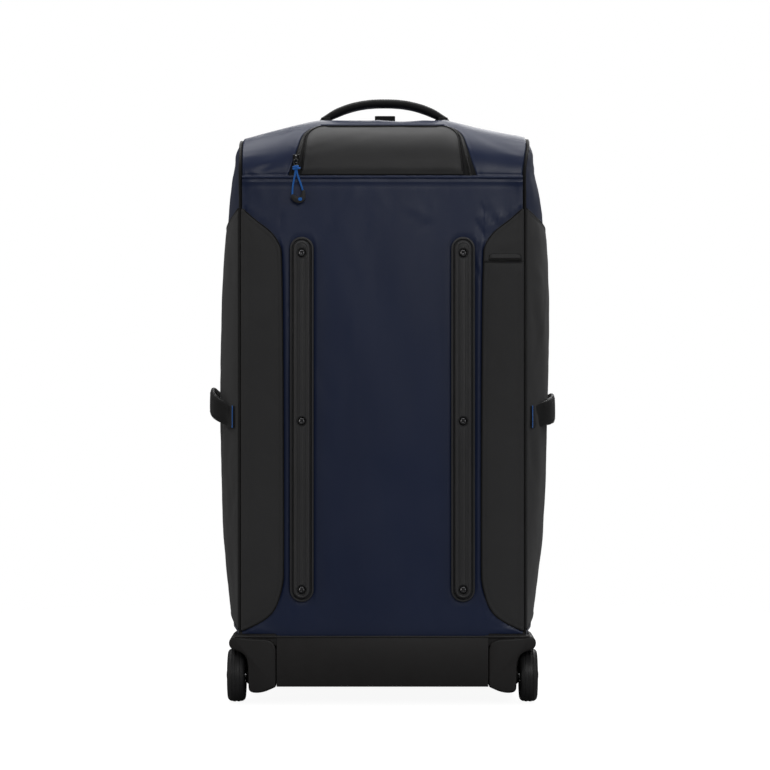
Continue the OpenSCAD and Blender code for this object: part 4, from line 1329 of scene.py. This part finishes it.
def make_overlay(side, word):
    """The black panel over a side, with a bound edge that dips in the middle."""
    mirror = np.array([side, 1, 1])
    v = SIDE_V
    t = stations(0, 540, 8) / 540
    z_low = OVERLAY_LOW - OVERLAY_LOW_FALL * v ** 2
    z_high = OVERLAY_TOP + OVERLAY_TOP_RISE * v ** 2
    zs = z_low[None, :] + t[:, None] * (z_high - z_low)[None, :]
    grid = side_point(zs, np.repeat(v[None, :], len(t), 0), side)
    ys = grid[..., 1]
    ends = margin(grid, "bt")
    sides = margin(grid, "lr")
    edge = np.minimum(ends, sides)
    height = OVERLAY_LIFT + hem(edge, 1.5)
    height += groove(ends, 4.8, 0.35, 0.9)
    height += 0.9 * waves(71 + side, 70, 170, 0, 1.6)(ys, zs * 0.6) * smooth(edge, 3, 35)
    height += 0.16 * waves(73 + side, 18, 40)(ys, zs) * smooth(edge, 3, 15)
    height += puckers(zs, sides, 75 + side, 14, 16, 0.45) + puckers(ys, ends, 77 + side, 12, 10, 0.35)
    soft = smooth(edge, 2, 16)
    height += soft * folds(ys, zs,
        (131 + side, 26, (-140, 140, 120, 640), UPRIGHT, 1.6, (60, 220), (6, 16), 1.0),
        (133 + side, 14, (-140, 140, 110, 200), 0.6, 1.8, (40, 110), (5, 10), 1.1),
        (135 + side, 12, (-140, 140, 560, 640), 0.4, 1.8, (40, 110), (5, 10), 0.9),
    )
    piece = cloth("side_overlay_" + word, grid * mirror, height, -0.6, "black_fabric",
                  replaces=once(side, "side_overlays"))
    top = side_point(z_high - 4.8, v, side) * mirror
    bottom = side_point(z_low + 4.8, v, side) * mirror
    stitched("side_stitches_" + word, piece, [top, bottom], "grey_fabric", radius=0.38)
    parts = []
    for line_z in (z_high, z_low):
        line = resampled(side_point(line_z, v, side) * mirror, 5)
        out = np.array([side, 0, 0])
        parts.append(rod(line + out * (OVERLAY_LIFT - 0.7), oval(2.6, 2.2, 8), out))
    new_object("side_binding_" + word, joined(parts), "trim_fabric")


def make_piping():
    """A covered cord down both corners of each side, in one run over the crest."""
    run = SEAM_INSET / 2
    turns = np.radians(np.arange(0, 90, 5))
    for side in BOTH:
        fall = CREST_DROP[side] + run
        up = [(BACK_Y + run, z) for z in np.arange(94, BACK_BEND_Z, 6.0)]
        up += [(BACK_BEND_Y - (BACK_R - run) * math.cos(t), BACK_BEND_Z + (BACK_R - fall) * math.sin(t))
               for t in turns]
        up += [(y, BODY_H - fall) for y in np.arange(BACK_BEND_Y, FRONT_BEND_Y, 6.0)]
        up += [(FRONT_BEND_Y + (FRONT_R - run) * math.cos(t),
                FRONT_BEND_Z + (FRONT_R - fall) * math.sin(t)) for t in turns[::-1]]
        up += [(FRONT_Y - run, z) for z in np.arange(FRONT_BEND_Z, 94, -6.0)]
        line = np.array(up)
        wobble = 0.25 * waves(81 + side, 40, 120)(line[:, 1], line[:, 0])
        out = HALF_W + 0.2 + wobble + flare(line[:, 1], side)
        path = np.stack([side * out, line[:, 0], line[:, 1]], -1)
        path = resampled(path, 3.5)
        away = path - np.array([0, 0, 440])
        away[:, 0] = 0
        swell = 1 + 0.05 * waves(83 + side, 7, 16)(np.arange(len(path)) * 3.5, 0)
        section = oval(3.5, 3.5, 12)[None] * swell[:, None, None]
        away[:, 0] = side * np.linalg.norm(away[:, 1:], axis=1) * 0.2
        word = WORD[side]
        shape = rod(path, section, away)
        new_object("piping_" + word, shape, "trim_fabric", replaces=once(side, "piping"))
        inward = path - np.array([0, 0, 440])
        inward[:, 0] = 0
        inward[path[:, 2] < BACK_BEND_Z, 2] = 0
        inward = unit(inward)
        under = path - inward * 2.6 - np.array([side * 2.0, 0, 0])
        new_object("piping_flange_" + word, rod(under, oval(3.4, 9.0, 8), inward), "trim_fabric")


# ---- Front: lid, its zip, the wings and base beside it

def lid_edge(z):
    rise = np.clip(z - (LID_TOP - LID_CORNER), 0, LID_CORNER)
    return LID_HALF - LID_CORNER + np.sqrt(np.clip(LID_CORNER ** 2 - rise ** 2, 0, None))


def lid_line(grow, count=16):
    """The U of the lid's edge in X and Z, from its left foot over the top to its right foot."""
    r = LID_CORNER + grow
    half = LID_HALF + grow
    top = LID_TOP + grow
    turns = np.linspace(0, math.pi / 2, count)
    left = [(-half, z) for z in np.linspace(LID_LOW, top - r, 40)]
    left += [(-half + r - r * math.cos(t), top - r + r * math.sin(t)) for t in turns[1:]]
    flat = [(x, top) for x in np.linspace(-half + r, half - r, 24)[1:-1]]
    right = [(-x, z) for x, z in left[::-1]]
    return np.array(left + flat + right)


POCKET_Z = 550
POCKET_X = (-112, 112)
LID_SEAM_Z = 330


def make_lid():
    rise = LID_TOP - LID_CORNER
    z = stations(LID_LOW, rise, 9, also=(POCKET_Z,))
    z = np.concatenate([z, rise + LID_CORNER * np.sin(np.linspace(0, math.radians(89), 20))[1:]])
    u = np.sin(np.linspace(-math.pi / 2, math.pi / 2, 61))
    zs = np.repeat(z[:, None], len(u), 1)
    xs = u[None, :] * (lid_edge(z)[:, None] - 0.3)
    v = 2 * (zs - LID_LOW) / (LID_TOP - LID_LOW) - 1
    crown = LID_CROWN * (1 - np.abs(u[None, :]) ** 6) * (1 - np.abs(v) ** 6)
    grid = np.stack([xs, FRONT_Y + crown, zs], -1)
    line = lid_line(-0.3)
    edge = gap_to(xs, zs, line)
    foot = zs - LID_LOW
    height = hem(edge, 1.7) + groove(edge, 5, 0.35, 0.9)
    height += 0.8 * waves(91, 60, 170)(xs, zs) * smooth(np.minimum(edge, foot), 3, 30)
    height += 0.2 * waves(92, 20, 50)(xs, zs) * smooth(edge, 3, 15)
    height += puckers(xs + zs, edge, 93, 12, 12, 0.4) + puckers(xs, foot, 94, 12, 12, 0.4)
    soft = smooth(np.minimum(edge, foot), 2, 16)
    height += soft * folds(xs, zs,
        (96, 34, (-140, 140, 150, 690), UPRIGHT, 1.8, (60, 200), (6, 15), 0.9),
        (97, 16, (-130, 130, 560, 680), 0.3, 2.2, (40, 120), (5, 10), 0.8),
    )
    inside = smooth(xs, POCKET_X[0] - 4, POCKET_X[0]) * smooth(-xs, -POCKET_X[1] - 4, -POCKET_X[1])
    height *= 1 - inside * (1 - smooth(np.abs(zs - POCKET_Z), 5, 14))
    height += -1.3 * np.exp(-((zs - POCKET_Z) / 3.2) ** 2) * inside
    off = np.abs(zs - POCKET_Z)
    height += puckers(xs, off - 5, 95, 11, 12, 0.4) * inside * smooth(off, 5, 8)
    seam = np.abs(zs - LID_SEAM_Z)
    height += groove(seam, 0, 1.0, 1.2) + groove(seam, 4.5, 0.25, 0.9)
    lid = cloth("lid_fabric", grid, height, PANEL_T - 0.6, NAVY_LINED,
                body="lid", replaces=("lid_panel",))
    inset = lid_line(-5.3)
    path = xyz(inset[:, 0], FRONT_Y + 4, inset[:, 1])
    rows = [path]
    for z_row in (LID_SEAM_Z + 4.5, LID_SEAM_Z - 4.5, LID_LOW + 5, POCKET_Z + 7, POCKET_Z - 7):
        span = lid_edge(z_row) - 8 if abs(z_row - POCKET_Z) > 8 else POCKET_X[1]
        rows.append(xyz(np.linspace(-span, span, 60), FRONT_Y + 8, z_row))
    stitched("lid_stitches", lid, rows, "grey_fabric", body="lid")
    make_pocket_zip(lid)


def make_pocket_zip(lid):
    place = surface_of(lid)
    line = xyz(np.linspace(POCKET_X[0], POCKET_X[1], 40), FRONT_Y + 8, POCKET_Z)
    spots = place(line, 0.25)[0]
    shape = rod(spots, oval(11, 0.8, 12, 4), (0, 1, 0))
    new_object("pocket_zip_tape", shape, "trim_fabric", body="lid")
    spots = place(resampled(line, 2.0), 0.9)[0]
    shape = beads_on(spots, (0, 1, 0), 4.2, 0.75, across=True)
    new_object("pocket_zip_teeth", shape, "gloss_black", sharp=70, body="lid")
    shape = slider_parts((-101, FRONT_Y + LID_CROWN + 0.9, POCKET_Z), turned=True)
    new_object("fine_pocket_slider", shape, "gloss_black", body="pocket_slider",
               replaces=("pocket_slider",))


def slider_parts(place, turned=False, tail=30):
    """A zip slider on the front face with a hanging puller; turned lays its body across."""
    x, y, z = place
    parts = [
        block((12, 8, 2.4) if turned else (8, 12, 2.4), (0, 0, 0), 1.6),
        block((8, 4.6, 1.2) if turned else (4.6, 8, 1.2), (0, 0, 1.5), 0.7),
    ]
    arch = [(0, 3.4 * math.cos(t), 1.6 + 1.5 * math.sin(t)) for t in np.linspace(0, math.pi, 9)]
    parts.append(rod(arch, oval(1.1, 2.4, 8), (1, 0, 0)))
    outline = rounded([(-2.2, 2.0), (-3.0, -4), (-2.6, -tail), (2.6, -tail), (3.0, -4), (2.2, 2.0)], 3)
    parts.append(prism(outline, 1.5, 3.1, 0.5, axis="z", steps=2))
    verts, faces = joined(parts)
    laid = np.stack([verts[:, 0] + x, verts[:, 2] + y, verts[:, 1] + z], -1)
    return laid, faces


def make_lid_zip():
    """The U-shaped zip tape, its teeth and two sliders."""
    inner, outer = lid_line(0.6), lid_line(9.2)
    t = np.linspace(0, 1, 13)[None, :, None]
    flat = inner[:, None] * (1 - t) + outer[:, None] * t
    grid = xyz(flat[..., 0], FRONT_Y - 1.4, flat[..., 1])
    across = np.linspace(0, 8.6, 13)[None, :]
    height = 0.8 * np.exp(-((across - 4.3) / 1.7) ** 2) + 0 * grid[..., 0]
    cloth("lid_zip_tape", grid, height, 1.6, "trim_fabric", replaces=("lid_zip",))
    line = lid_line(4.9)
    path = xyz(line[:, 0], FRONT_Y - 0.1, line[:, 1])
    spots = resampled(path, 2.3)
    shape = beads_on(spots, (0, 1, 0), 4.6, 0.85, across=True)
    new_object("lid_zip_teeth", shape, "gloss_black", sharp=70)
    for side in BOTH:
        word = WORD[side]
        shape = slider_parts((side * (LID_HALF + 4.9), FRONT_Y + 1.8, 606), tail=38)
        node = "lid_slider_" + word
        new_object("fine_" + node, shape, "gloss_black", body=node, replaces=(node,))


ZIP_OUT = 9.4
FRONT_WING_TOP = 640


def make_front_top():
    """The navy panel over the lid, from the zip's edge out to the sides and the bend."""
    inner = lid_line(ZIP_OUT)
    inner = inner[inner[:, 1] > FRONT_WING_TOP + 0.5]
    half = LID_HALF + ZIP_OUT
    turn_x = half - LID_CORNER * 0.55
    inner = np.concatenate([[(-half, FRONT_WING_TOP)], inner, [(half, FRONT_WING_TOP)]])
    corner = np.array([BAND_HALF, FRONT_BEND_Z])
    outer = []
    for x, z in inner:
        up = max(z - FRONT_WING_TOP, 0) / (LID_TOP + ZIP_OUT - FRONT_WING_TOP)
        if abs(x) >= turn_x:
            z_out = FRONT_WING_TOP + up * (corner[1] - FRONT_WING_TOP)
            outer.append((math.copysign(corner[0], x), z_out))
        else:
            outer.append((x / turn_x * corner[0], corner[1]))
    outer = np.array(outer)
    t = np.array([0, 0.01, 0.03, 0.06, 0.1, 0.16, 0.24, 0.34, 0.46, 0.58, 0.7, 0.8, 0.88, 0.94, 0.98, 1])
    t = t[None, :, None]
    flat = inner[:, None] * (1 - t) + outer[:, None] * t
    grid = xyz(flat[..., 0], FRONT_Y, flat[..., 1])
    gap = line_distance(flat, lid_line(ZIP_OUT))
    ends = BAND_HALF - np.abs(flat[..., 0])
    height = hem(gap, 1.5) + groove(gap, 4.6, 0.3, 0.9) + hem(ends, 2.0)
    height += 0.3 * waves(101, 30, 90)(flat[..., 0], flat[..., 1])
    top = cloth("front_top_fabric", grid, height, PANEL_T - 0.4, NAVY_LINED,
                replaces=("front_top",))
    line = lid_line(14)
    line = line[line[:, 1] > 645]
    stitched("front_top_stitches", top, [xyz(line[:, 0], FRONT_Y, line[:, 1])])


def make_front_wing(side):
    """The black panel beside the lid."""
    x = stations(LID_HALF + ZIP_OUT, BAND_HALF, 4, (0, 0.25, 0.8, 1.6, 3, 4.6, 6.5, 9))
    z = stations(LID_LOW, FRONT_WING_TOP - 0.4, 7)
    xs, zs = np.meshgrid(x, z)
    grid = xyz(side * xs, FRONT_Y, zs)
    near = xs - LID_HALF - ZIP_OUT
    edge = margin(grid)
    height = hem(edge, 1.6) + groove(near, 4.6, 0.3, 0.9)
    height += puckers(zs, near, 103 + side, 12, 10, 0.35)
    height += 0.3 * waves(105 + side, 40, 110)(xs, zs)
    word = WORD[side]
    piece = cloth("front_wing_" + word, grid, height, PANEL_T - 0.4,
                  ("black_fabric", "lining_fabric"), replaces=once(side, "front_wings"))
    row = xyz(side * (LID_HALF + 14), FRONT_Y, np.linspace(LID_LOW + 4, 636, 80))
    stitched("front_wing_stitches_" + word, piece, [row])


def make_front_base():
    """The navy strip between the lid and the tray."""
    x = stations(-BAND_HALF, BAND_HALF, 8)
    z = stations(SHELL_TOP - 1.5, LID_LOW - 0.6, 5, (0, 0.25, 0.8, 1.6, 3, 4.6, 6.5))
    xs, zs = np.meshgrid(x, z)
    grid = xyz(xs, FRONT_Y, zs)
    edge = margin(grid)
    height = hem(edge, 1.6) + groove(LID_LOW - 0.6 - zs, 5, 0.35, 0.9) + 0.3 * waves(107, 40, 120)(xs, zs)
    height += puckers(xs, LID_LOW - zs, 108, 12, 12, 0.45)
    base = cloth("front_base_fabric", grid, height, PANEL_T - 0.4, NAVY_LINED,
                 replaces=("front_base",))
    row = xyz(np.linspace(-182, 182, 100), FRONT_Y, LID_LOW - 5.6)
    stitched("front_base_stitches", base, [row])


# ---- Skid rails and screws

def stadium_ring(inset, count=20):
    """An outline of a rail in X and Z about its own middle line, moved in by the inset."""
    r = RAIL_W / 2 - inset
    z0, z1 = RAIL_LOW + RAIL_W / 2, RAIL_TOP - RAIL_W / 2
    top = [(r * math.cos(t), z1 + r * math.sin(t)) for t in np.linspace(0, math.pi, count)]
    left = [(-r, z) for z in np.linspace(z1, z0, 30)[1:-1]]
    low_end = [(r * math.cos(t), z0 + r * math.sin(t)) for t in np.linspace(math.pi, 2 * math.pi, count)]
    right = [(r, z) for z in np.linspace(z0, z1, 30)[1:-1]]
    return np.array(top + left + low_end + right)


# A rail's section from its foot inwards: distance in from its outline, and rise off the back.
RAIL_PROFILE = [(0.6, 0.3), (0.0, 0.9), (0.0, 3.6), (0.35, 4.8), (1.1, 5.5), (2.2, 5.6), (2.9, 5.1),
                (3.2, 4.0), (3.5, 3.3), (4.3, 3.2), (4.7, 3.6), (4.9, 5.4), (5.2, 8.0), (5.6, 9.3),
                (6.4, 10.1), (7.4, 10.35), (8.4, 10.2), (8.8, 9.85), (9.2, 10.2), (10.4, 10.4),
                (10.8, 10.0), (11.2, 10.4), (12.4, 10.45), (12.8, 10.05), (13.2, 10.45),
                (14.6, 10.5), (15.0, 10.15), (15.6, 10.15)]


def make_rail(side):
    rings = []
    for inset, rise in RAIL_PROFILE:
        flat = stadium_ring(inset)
        rings.append(xyz(flat[:, 0] + side * RAIL_X, BACK_Y - rise, flat[:, 1]))
    shape = tube_mesh(rings)
    word = WORD[side]
    rail = new_object("fine_rail_" + word, shape, "rail_plastic", sharp=38,
                      replaces=("rail_" + word,))
    hole = [(7.4, RAIL_BACK - 4), (7.4, RAIL_BACK + 0.25), (5.9, RAIL_BACK + 1.6), (5.9, RAIL_BACK + 3.4)]
    cut(rail, [lathe(hole, (side * RAIL_X, 0, z), "y", 40) for z in SCREW_HEIGHTS])


def make_screws():
    head = RAIL_BACK - 1.3
    profile = [(0.01, head + 2.3), (1.5, head + 2.2), (1.9, head + 0.2), (2.3, head), (3.2, head + 0.5),
               (4.2, head + 1.4), (4.9, head + 2.5), (5.1, head + 3.4), (5.1, head + 4.6)]
    parts = []
    for side in BOTH:
        for z in SCREW_HEIGHTS:
            parts.append(lathe(profile, (side * RAIL_X, 0, z), "y", 40))
            parts.append(lathe([(2, head + 4.5), (2, head + 20)], (side * RAIL_X, 0, z), "y", 16))
    shape = joined(parts)
    new_object("fine_rail_screws", shape, "dark_chrome", sharp=50, replaces=("rail_screws",))


# ---- Base, wheels and feet

# A wheel housing in X and Z, from its inner foot over the top and back under the wheel.
HOUSING_OUTLINE = [(142.0, 30), (142.0, 62), (142.2, 76), (147.4, 85.6), (159, 88.2), (178, 88.8),
                   (189, 89.8), (194, 91.4), (200.5, 91.2), (205.4, 86), (205.6, 79), (201.5, 73.6),
                   (193, 71.6), (185, 67), (180.6, 59), (179.6, 48), (179.6, 26), (178.6, 17.4),
                   (170, 15.0), (158, 16.6), (147, 21.4), (142.2, 23.6)]


def make_housing(side):
    outline = rounded(HOUSING_OUTLINE, 2) * np.array([side, 1])
    shape = prism(outline, BASE_Y + 0.2, -72.4, 3.0, "y", 5)
    word = WORD[side]
    piece = new_object("fine_wheel_housing_" + word, shape, "base_plastic", sharp=38,
                       replaces=("wheel_housing_" + word,))
    arch = lathe([(39.4, side * 181.5), (39.4, side * 230)], WHEEL_CENTRE, "x", 80)
    cut(piece, [arch])
    boss = [(12.5, side * 178.8), (12.0, side * 182.2), (9.5, side * 183.6), (4.2, side * 183.7)]
    new_object("axle_boss_" + word, lathe(boss, WHEEL_CENTRE, "x", 48), "base_plastic", sharp=40)


TYRE_X = WHEEL_X + 0.6
TYRE_W = WHEEL_W + 1.2


def make_tyre(side):
    half = TYRE_W / 2
    r = WHEEL_R
    profile = [(28.4, -half + 0.9), (29.2, -half + 0.2), (30.6, -half), (32.2, -half + 0.5),
               (33.6, -half + 1.6), (34.8, -half + 3.4), (35.5, -half + 5.6), (35.2, -half + 6.1),
               (35.2, -half + 6.9), (r - 0.15, -half + 7.4), (r, -1.6), (r - 0.5, -1.1),
               (r - 0.5, 1.1), (r, 1.6)]
    profile += [(q, -t) for q, t in profile[-5::-1]]
    profile += [(28.4, half - 2), (28.2, half - 3), (28.2, -half + 3)]
    rings = []
    for t in around(120):
        c, s = math.cos(t), math.sin(t)
        rings.append([(side * TYRE_X + a, WHEEL_Y + q * c, WHEEL_R + q * s) for q, a in profile])
    shape = tube_mesh(rings, closed=True)
    word = WORD[side]
    new_object("fine_tyre_" + word, shape, "tyre_rubber", sharp=42, body="wheel_" + word,
               replaces=("tyre_" + word,))


def make_hub(side):
    """A spoked hub: each face is dished between its spokes."""
    half = TYRE_W / 2 - 0.4
    radii = np.array([11.05, 11.6, 12.4, 13.4, 14.4, 15.4, 16.4, 17.6, 19, 20.6, 22, 23, 23.8, 24.6, 25.6,
                      26.8, 27.7, 27.9])
    turn = around(180)
    rr, tt = np.meshgrid(radii, turn)
    spokes = np.abs(((tt * 6 / (2 * math.pi)) % 1) - 0.5) * 2
    window = smooth(rr, 13.2, 15.4) * smooth(-rr, -24.6, -22.6)
    wide = (spokes - 0.42) * rr * math.pi / 6
    rim = 0.9 * smooth(rr, 12.2, 13.2) * (1 - smooth(rr, 25.6, 26.4))
    dish = 5.2 * window * smooth(wide, -0.6, 1.4) + rim
    parts = []
    for face in BOTH:
        depth = face * (half - dish - 0.8 * smooth(rr, 26.8, 27.9))
        parts.append(xyz(side * TYRE_X + depth, WHEEL_Y + rr * np.cos(tt), WHEEL_R + rr * np.sin(tt)))
    ring = np.concatenate([parts[0], parts[1][:, ::-1]], 1)
    shape = tube_mesh(ring, closed=True)
    word = WORD[side]
    new_object("fine_hub_" + word, shape, "hub_plastic", sharp=38, body="wheel_" + word,
               replaces=("hub_" + word,))


def make_axle_caps():
    parts = []
    out = WHEEL_X + WHEEL_W / 2 - 0.9
    cap = [(0.01, 4.3), (2.6, 4.25), (3.0, 3.8), (3.6, 3.8), (4.2, 4.1), (5.6, 3.6), (6.8, 2.9),
           (7.5, 2.0), (7.5, 0.95)]
    for side in BOTH:
        parts.append(lathe([(r, side * (out + t)) for r, t in cap], WHEEL_CENTRE, "x", 48))
        parts.append(lathe([(3.95, side * 149), (3.95, side * (out + 1.2))], WHEEL_CENTRE, "x", 32))
        parts.append(lathe([(0.01, side * 143.4), (5.6, side * 143.6), (6.5, side * 144.4),
                            (6.5, side * 149.8)], WHEEL_CENTRE, "x", 32))
    new_object("fine_axles", joined(parts), "steel", sharp=40, replaces=("axles",))


def make_shell():
    """The moulded tray, with its rims broken, a bead along its top and two ribs."""
    dressed("bottom_shell", "base_plastic", 1.3, 3)
    path = resampled([(x, BASE_Y, SHELL_TOP - 1.2) for x in (-197, 197)], 6)
    parts = [rod(path, oval(2.2, 2.6, 10, 2.6), (0, 0, 1))]
    for side in BOTH:
        parts.append(block((55, 36, 13.4), (side * 168, BASE_Y + 21, SHELL_TOP - 6.5), 0.8))
        parts.append(block((50, 42, 16), (side * 166, BACK_Y + 22.4, SHELL_TOP - 3.4), 1.5))
    new_object("shell_bead", joined(parts), "base_plastic")


def make_feet():
    parts = []
    box_low, box_high = low("front_feet"), high("front_feet")
    y = (box_low[1] + box_high[1]) / 2
    for side in BOTH:
        x = side * 110
        parts.append(block((68, 28, box_high[2] - 4.9), (x, y, (box_high[2] + 4.9) / 2), 5))
        for k in range(3):
            parts.append(block((16, 17, 5.6), (x + (k - 1) * 20, y, 2.8), 3))
    new_object("fine_front_feet", joined(parts), "tyre_rubber", sharp=40, replaces=("front_feet",))


# ---- Carry handles

TOP_HANDLE_X = 2.6
TOP_HANDLE_Y = (low("top_handle")[1] + high("top_handle")[1]) / 2
TOP_HANDLE_HALF = 84


def make_top_handle():
    y = TOP_HANDLE_Y
    apex = high("top_handle")[2]
    u = np.linspace(-1, 1, 61)
    foot = BODY_H + 0.8
    rise = (apex - 6 - foot) * (1 - np.abs(u) ** 2.35)
    path = xyz(TOP_HANDLE_X + TOP_HANDLE_HALF * u, y, foot + rise)
    wide = 16.5 + 11 * smooth(1 - np.abs(u), 0.06, 0.5)
    thick = 9.6 + 2.2 * smooth(1 - np.abs(u), 0.04, 0.25)
    ripple = 1 + 0.012 * waves(111, 9, 24)(u * TOP_HANDLE_HALF, 0)
    section = np.stack([oval(w * q, t * q, 20, 2.7) for w, t, q in zip(wide, thick, ripple)])
    shape = rod(path, section, (0, 0, 1))
    handle = new_object("fine_top_handle", shape, "trim_fabric", sharp=60, body=None,
                        replaces=("top_handle",))
    rows = []
    for side in BOTH:
        line = path.copy()[3:-3]
        line[:, 1] += side * (wide[3:-3] / 2 - 3.4)
        line[:, 2] += 8
        rows.append(line)
    stitches = stitched("top_handle_stitches", handle, rows, "grey_fabric", body=None, radius=0.4)
    for piece in (handle, stitches):
        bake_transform(piece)


def make_top_handle_anchors():
    """The folded feet of the handle, sewn to the crest, and a loop for a tag beside them."""
    y = TOP_HANDLE_Y
    parts = []
    for side in BOTH:
        x = TOP_HANDLE_X + side * 81
        parts.append(block((15, 25, 2.2), (x, y, BODY_H + 0.4), 1.0))
        for k in (-1, 1):
            parts.append(block((13, 3.4, 5.0), (x - side * 0.5, y + k * 10.4, BODY_H + 1.6), 1.2))
    new_object("top_handle_anchors", joined(parts), "trim_fabric", sharp=40)
    tag = [(3.4, y + 16.2, BODY_H - 1.5), (3.4, y + 16, BODY_H + 5.5), (3.4, y + 15.4, BODY_H + 8.4),
           (3.4, y + 14.0, BODY_H + 8.4), (3.4, y + 13.4, BODY_H + 5.5), (3.4, y + 13.2, BODY_H - 1.5)]
    shape = rod(softened(tag, 2), oval(28, 1.2, 16, 5), (0, 1, 0.01))
    new_object("tag_loop", shape, "trim_fabric", sharp=60)


# Half of a side handle's line: Y out from its middle, and X.
SIDE_HANDLE_LINE = [(135, 200.2), (121, 204.8), (110, 210.0), (102, 215.2), (92, 221.0), (75, 228.4),
                    (50, 234.0), (25, 236.0), (0, 236.2)]
SIDE_HANDLE_Z = 384.5
SIDE_HANDLE_RISE = {-1: 21.0, 1: 11.5}


def make_handle_mark(handle, side):
    """A short upright row of blue stitches in the middle of a side handle."""
    word = WORD[side]
    mark = surface_of(handle)
    middle = SIDE_HANDLE_Z + SIDE_HANDLE_RISE[side]
    column = xyz(side * 250, -1.5, np.linspace(middle - 4.5, middle + 4, 20))
    spots, normals = mark(resampled(column, 1.15), 0.1)
    shape = beads_on(spots, normals, 5.5, 0.75, across=True, flat=0.8)
    new_object("side_handle_" + word + "_mark", shape, "blue_cord", sharp=70,
               body="side_handle_" + word)


def make_side_handle(side):
    word = WORD[side]
    line = resampled(softened(SIDE_HANDLE_LINE, 2), 3.0)
    pieces = []
    for end in BOTH:
        y, x = line[:, 0], line[:, 1]
        share = np.clip(1 - (y / 116) ** 2, 0, 1)
        z = SIDE_HANDLE_Z + SIDE_HANDLE_RISE[side] * share
        tall = 30.5 + (8 + 1.5 * side) * share
        thick = 2.2 + 5.4 * smooth(share, 0.15, 0.6)
        path = np.stack([side * x, end * y, z], -1)
        ripple = 1 + 0.012 * waves(121 + side + end, 8, 22)(y, 0)
        section = np.stack([oval(h * q, t, 22, 3.2) for h, t, q in zip(tall, thick, ripple)])
        shape = rod(path, section, (side, 0, 0.02))
        name = "side_handle_" + word + ("_front" if end > 0 else "_rear")
        handle = new_object(name, shape, "trim_fabric", sharp=60, body=None)
        rows = []
        for edge in BOTH:
            height = path[:, 2] + edge * (tall / 2 - 5.5)
            rows.append(xyz(path[:, 0] + side * 6, path[:, 1], height)[6:])
        stitches = stitched(name + "_stitches", handle, rows, "trim_fabric", body=None, radius=0.4)
        spots = xyz(side * 202.3, end * 132.2, np.arange(370.2, 399, 1.15))
        normals = np.array([side, end * 0.33, 0]) / math.hypot(1, 0.33)
        shape = beads_on(spots, normals, 4.4, 0.72, across=True, flat=0.8)
        bar = new_object(name + "_bar_tack", shape, "blue_cord", sharp=70, body=None)
        pieces += [handle, stitches, bar]
        for piece in (handle, stitches, bar):
            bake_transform(piece)
    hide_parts("side_handle_" + word)
    make_handle_mark(pieces[0], side)


def make_lash_tabs():
    parts = []
    box_low, box_high = low("lash_tabs"), high("lash_tabs")
    y = box_high[1] - 5
    for side in BOTH:
        for z in (box_low[2] + 13, box_high[2] - 13):
            centre = side * (box_high[0] - 5.2)
            loop = [(centre + side * 5.4 * math.cos(t) * (1 if math.cos(t) > 0 else 0.8), y,
                     z + 12.4 * math.copysign(abs(math.sin(t)) ** 0.6, math.sin(t)))
                    for t in around(31)]
            parts.append(rod(loop, oval(1.9, 10, 16, 4), (0, 1, 0), closed=True))
            parts.append(block((9, 9, 12), (centre - side * 5.2, y, z), 1.2))
    new_object("fine_lash_tabs", joined(parts), "trim_fabric", sharp=50, replaces=("lash_tabs",))


# ---- Trolley, fixings and the inside

# Node, material, width of the bevel in millimetres, and its steps.
DRESSED = (
    ("tube_collars", "gloss_black", 0.5, 2),
    ("middle_collars", "gloss_black", 0.5, 2),
    ("handle_bezel", "base_plastic", 1.4, 3),
    ("tube_bracket", "base_plastic", 1.5, 3),
    ("grip", "gloss_black", 2.2, 4),
    ("grip_button", "hub_plastic", 1.2, 3),
    ("base_screws", "steel", 0.4, 2),
    ("backing_board", "base_plastic", 0.8, 2),
    ("floor_board", "lining_fabric", 0.6, 2),
    ("garage_liner", "lining_fabric", 0.4, 2),
    ("inner_straps", "trim_fabric", 0.5, 2),
    ("handle_patches", "trim_fabric", 0.4, 2),
)


def make_hardware():
    spring = dressed("button_spring", "steel", 0.02, 1)
    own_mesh(spring)
    painted("steel", "rail_nuts", "bearings_left", "bearings_right", "push_rods", "lock_pins")
    painted("tube_aluminium", "outer_tubes", "middle_tubes", "inner_tubes")
    for row in DRESSED:
        dressed(*row)


make_camera()
make_studio()
make_floor()
make_pull_cord()
make_back_panel()
for side in BOTH:
    make_wing(side)
make_pocket_welt()
make_band()
make_flap()
make_flap_binding()
make_flap_strip()
make_flap_teeth()
make_flap_slider()
make_cord_knot()
for side in BOTH:
    make_side(side)
make_piping()
make_front_top()
for side in BOTH:
    make_front_wing(side)
make_front_base()
make_lid()
make_lid_zip()
for side in BOTH:
    make_rail(side)
    make_housing(side)
    make_tyre(side)
    make_hub(side)
    make_side_handle(side)
make_screws()
make_axle_caps()
make_shell()
make_feet()
make_top_handle()
make_top_handle_anchors()
make_lash_tabs()
make_hardware()
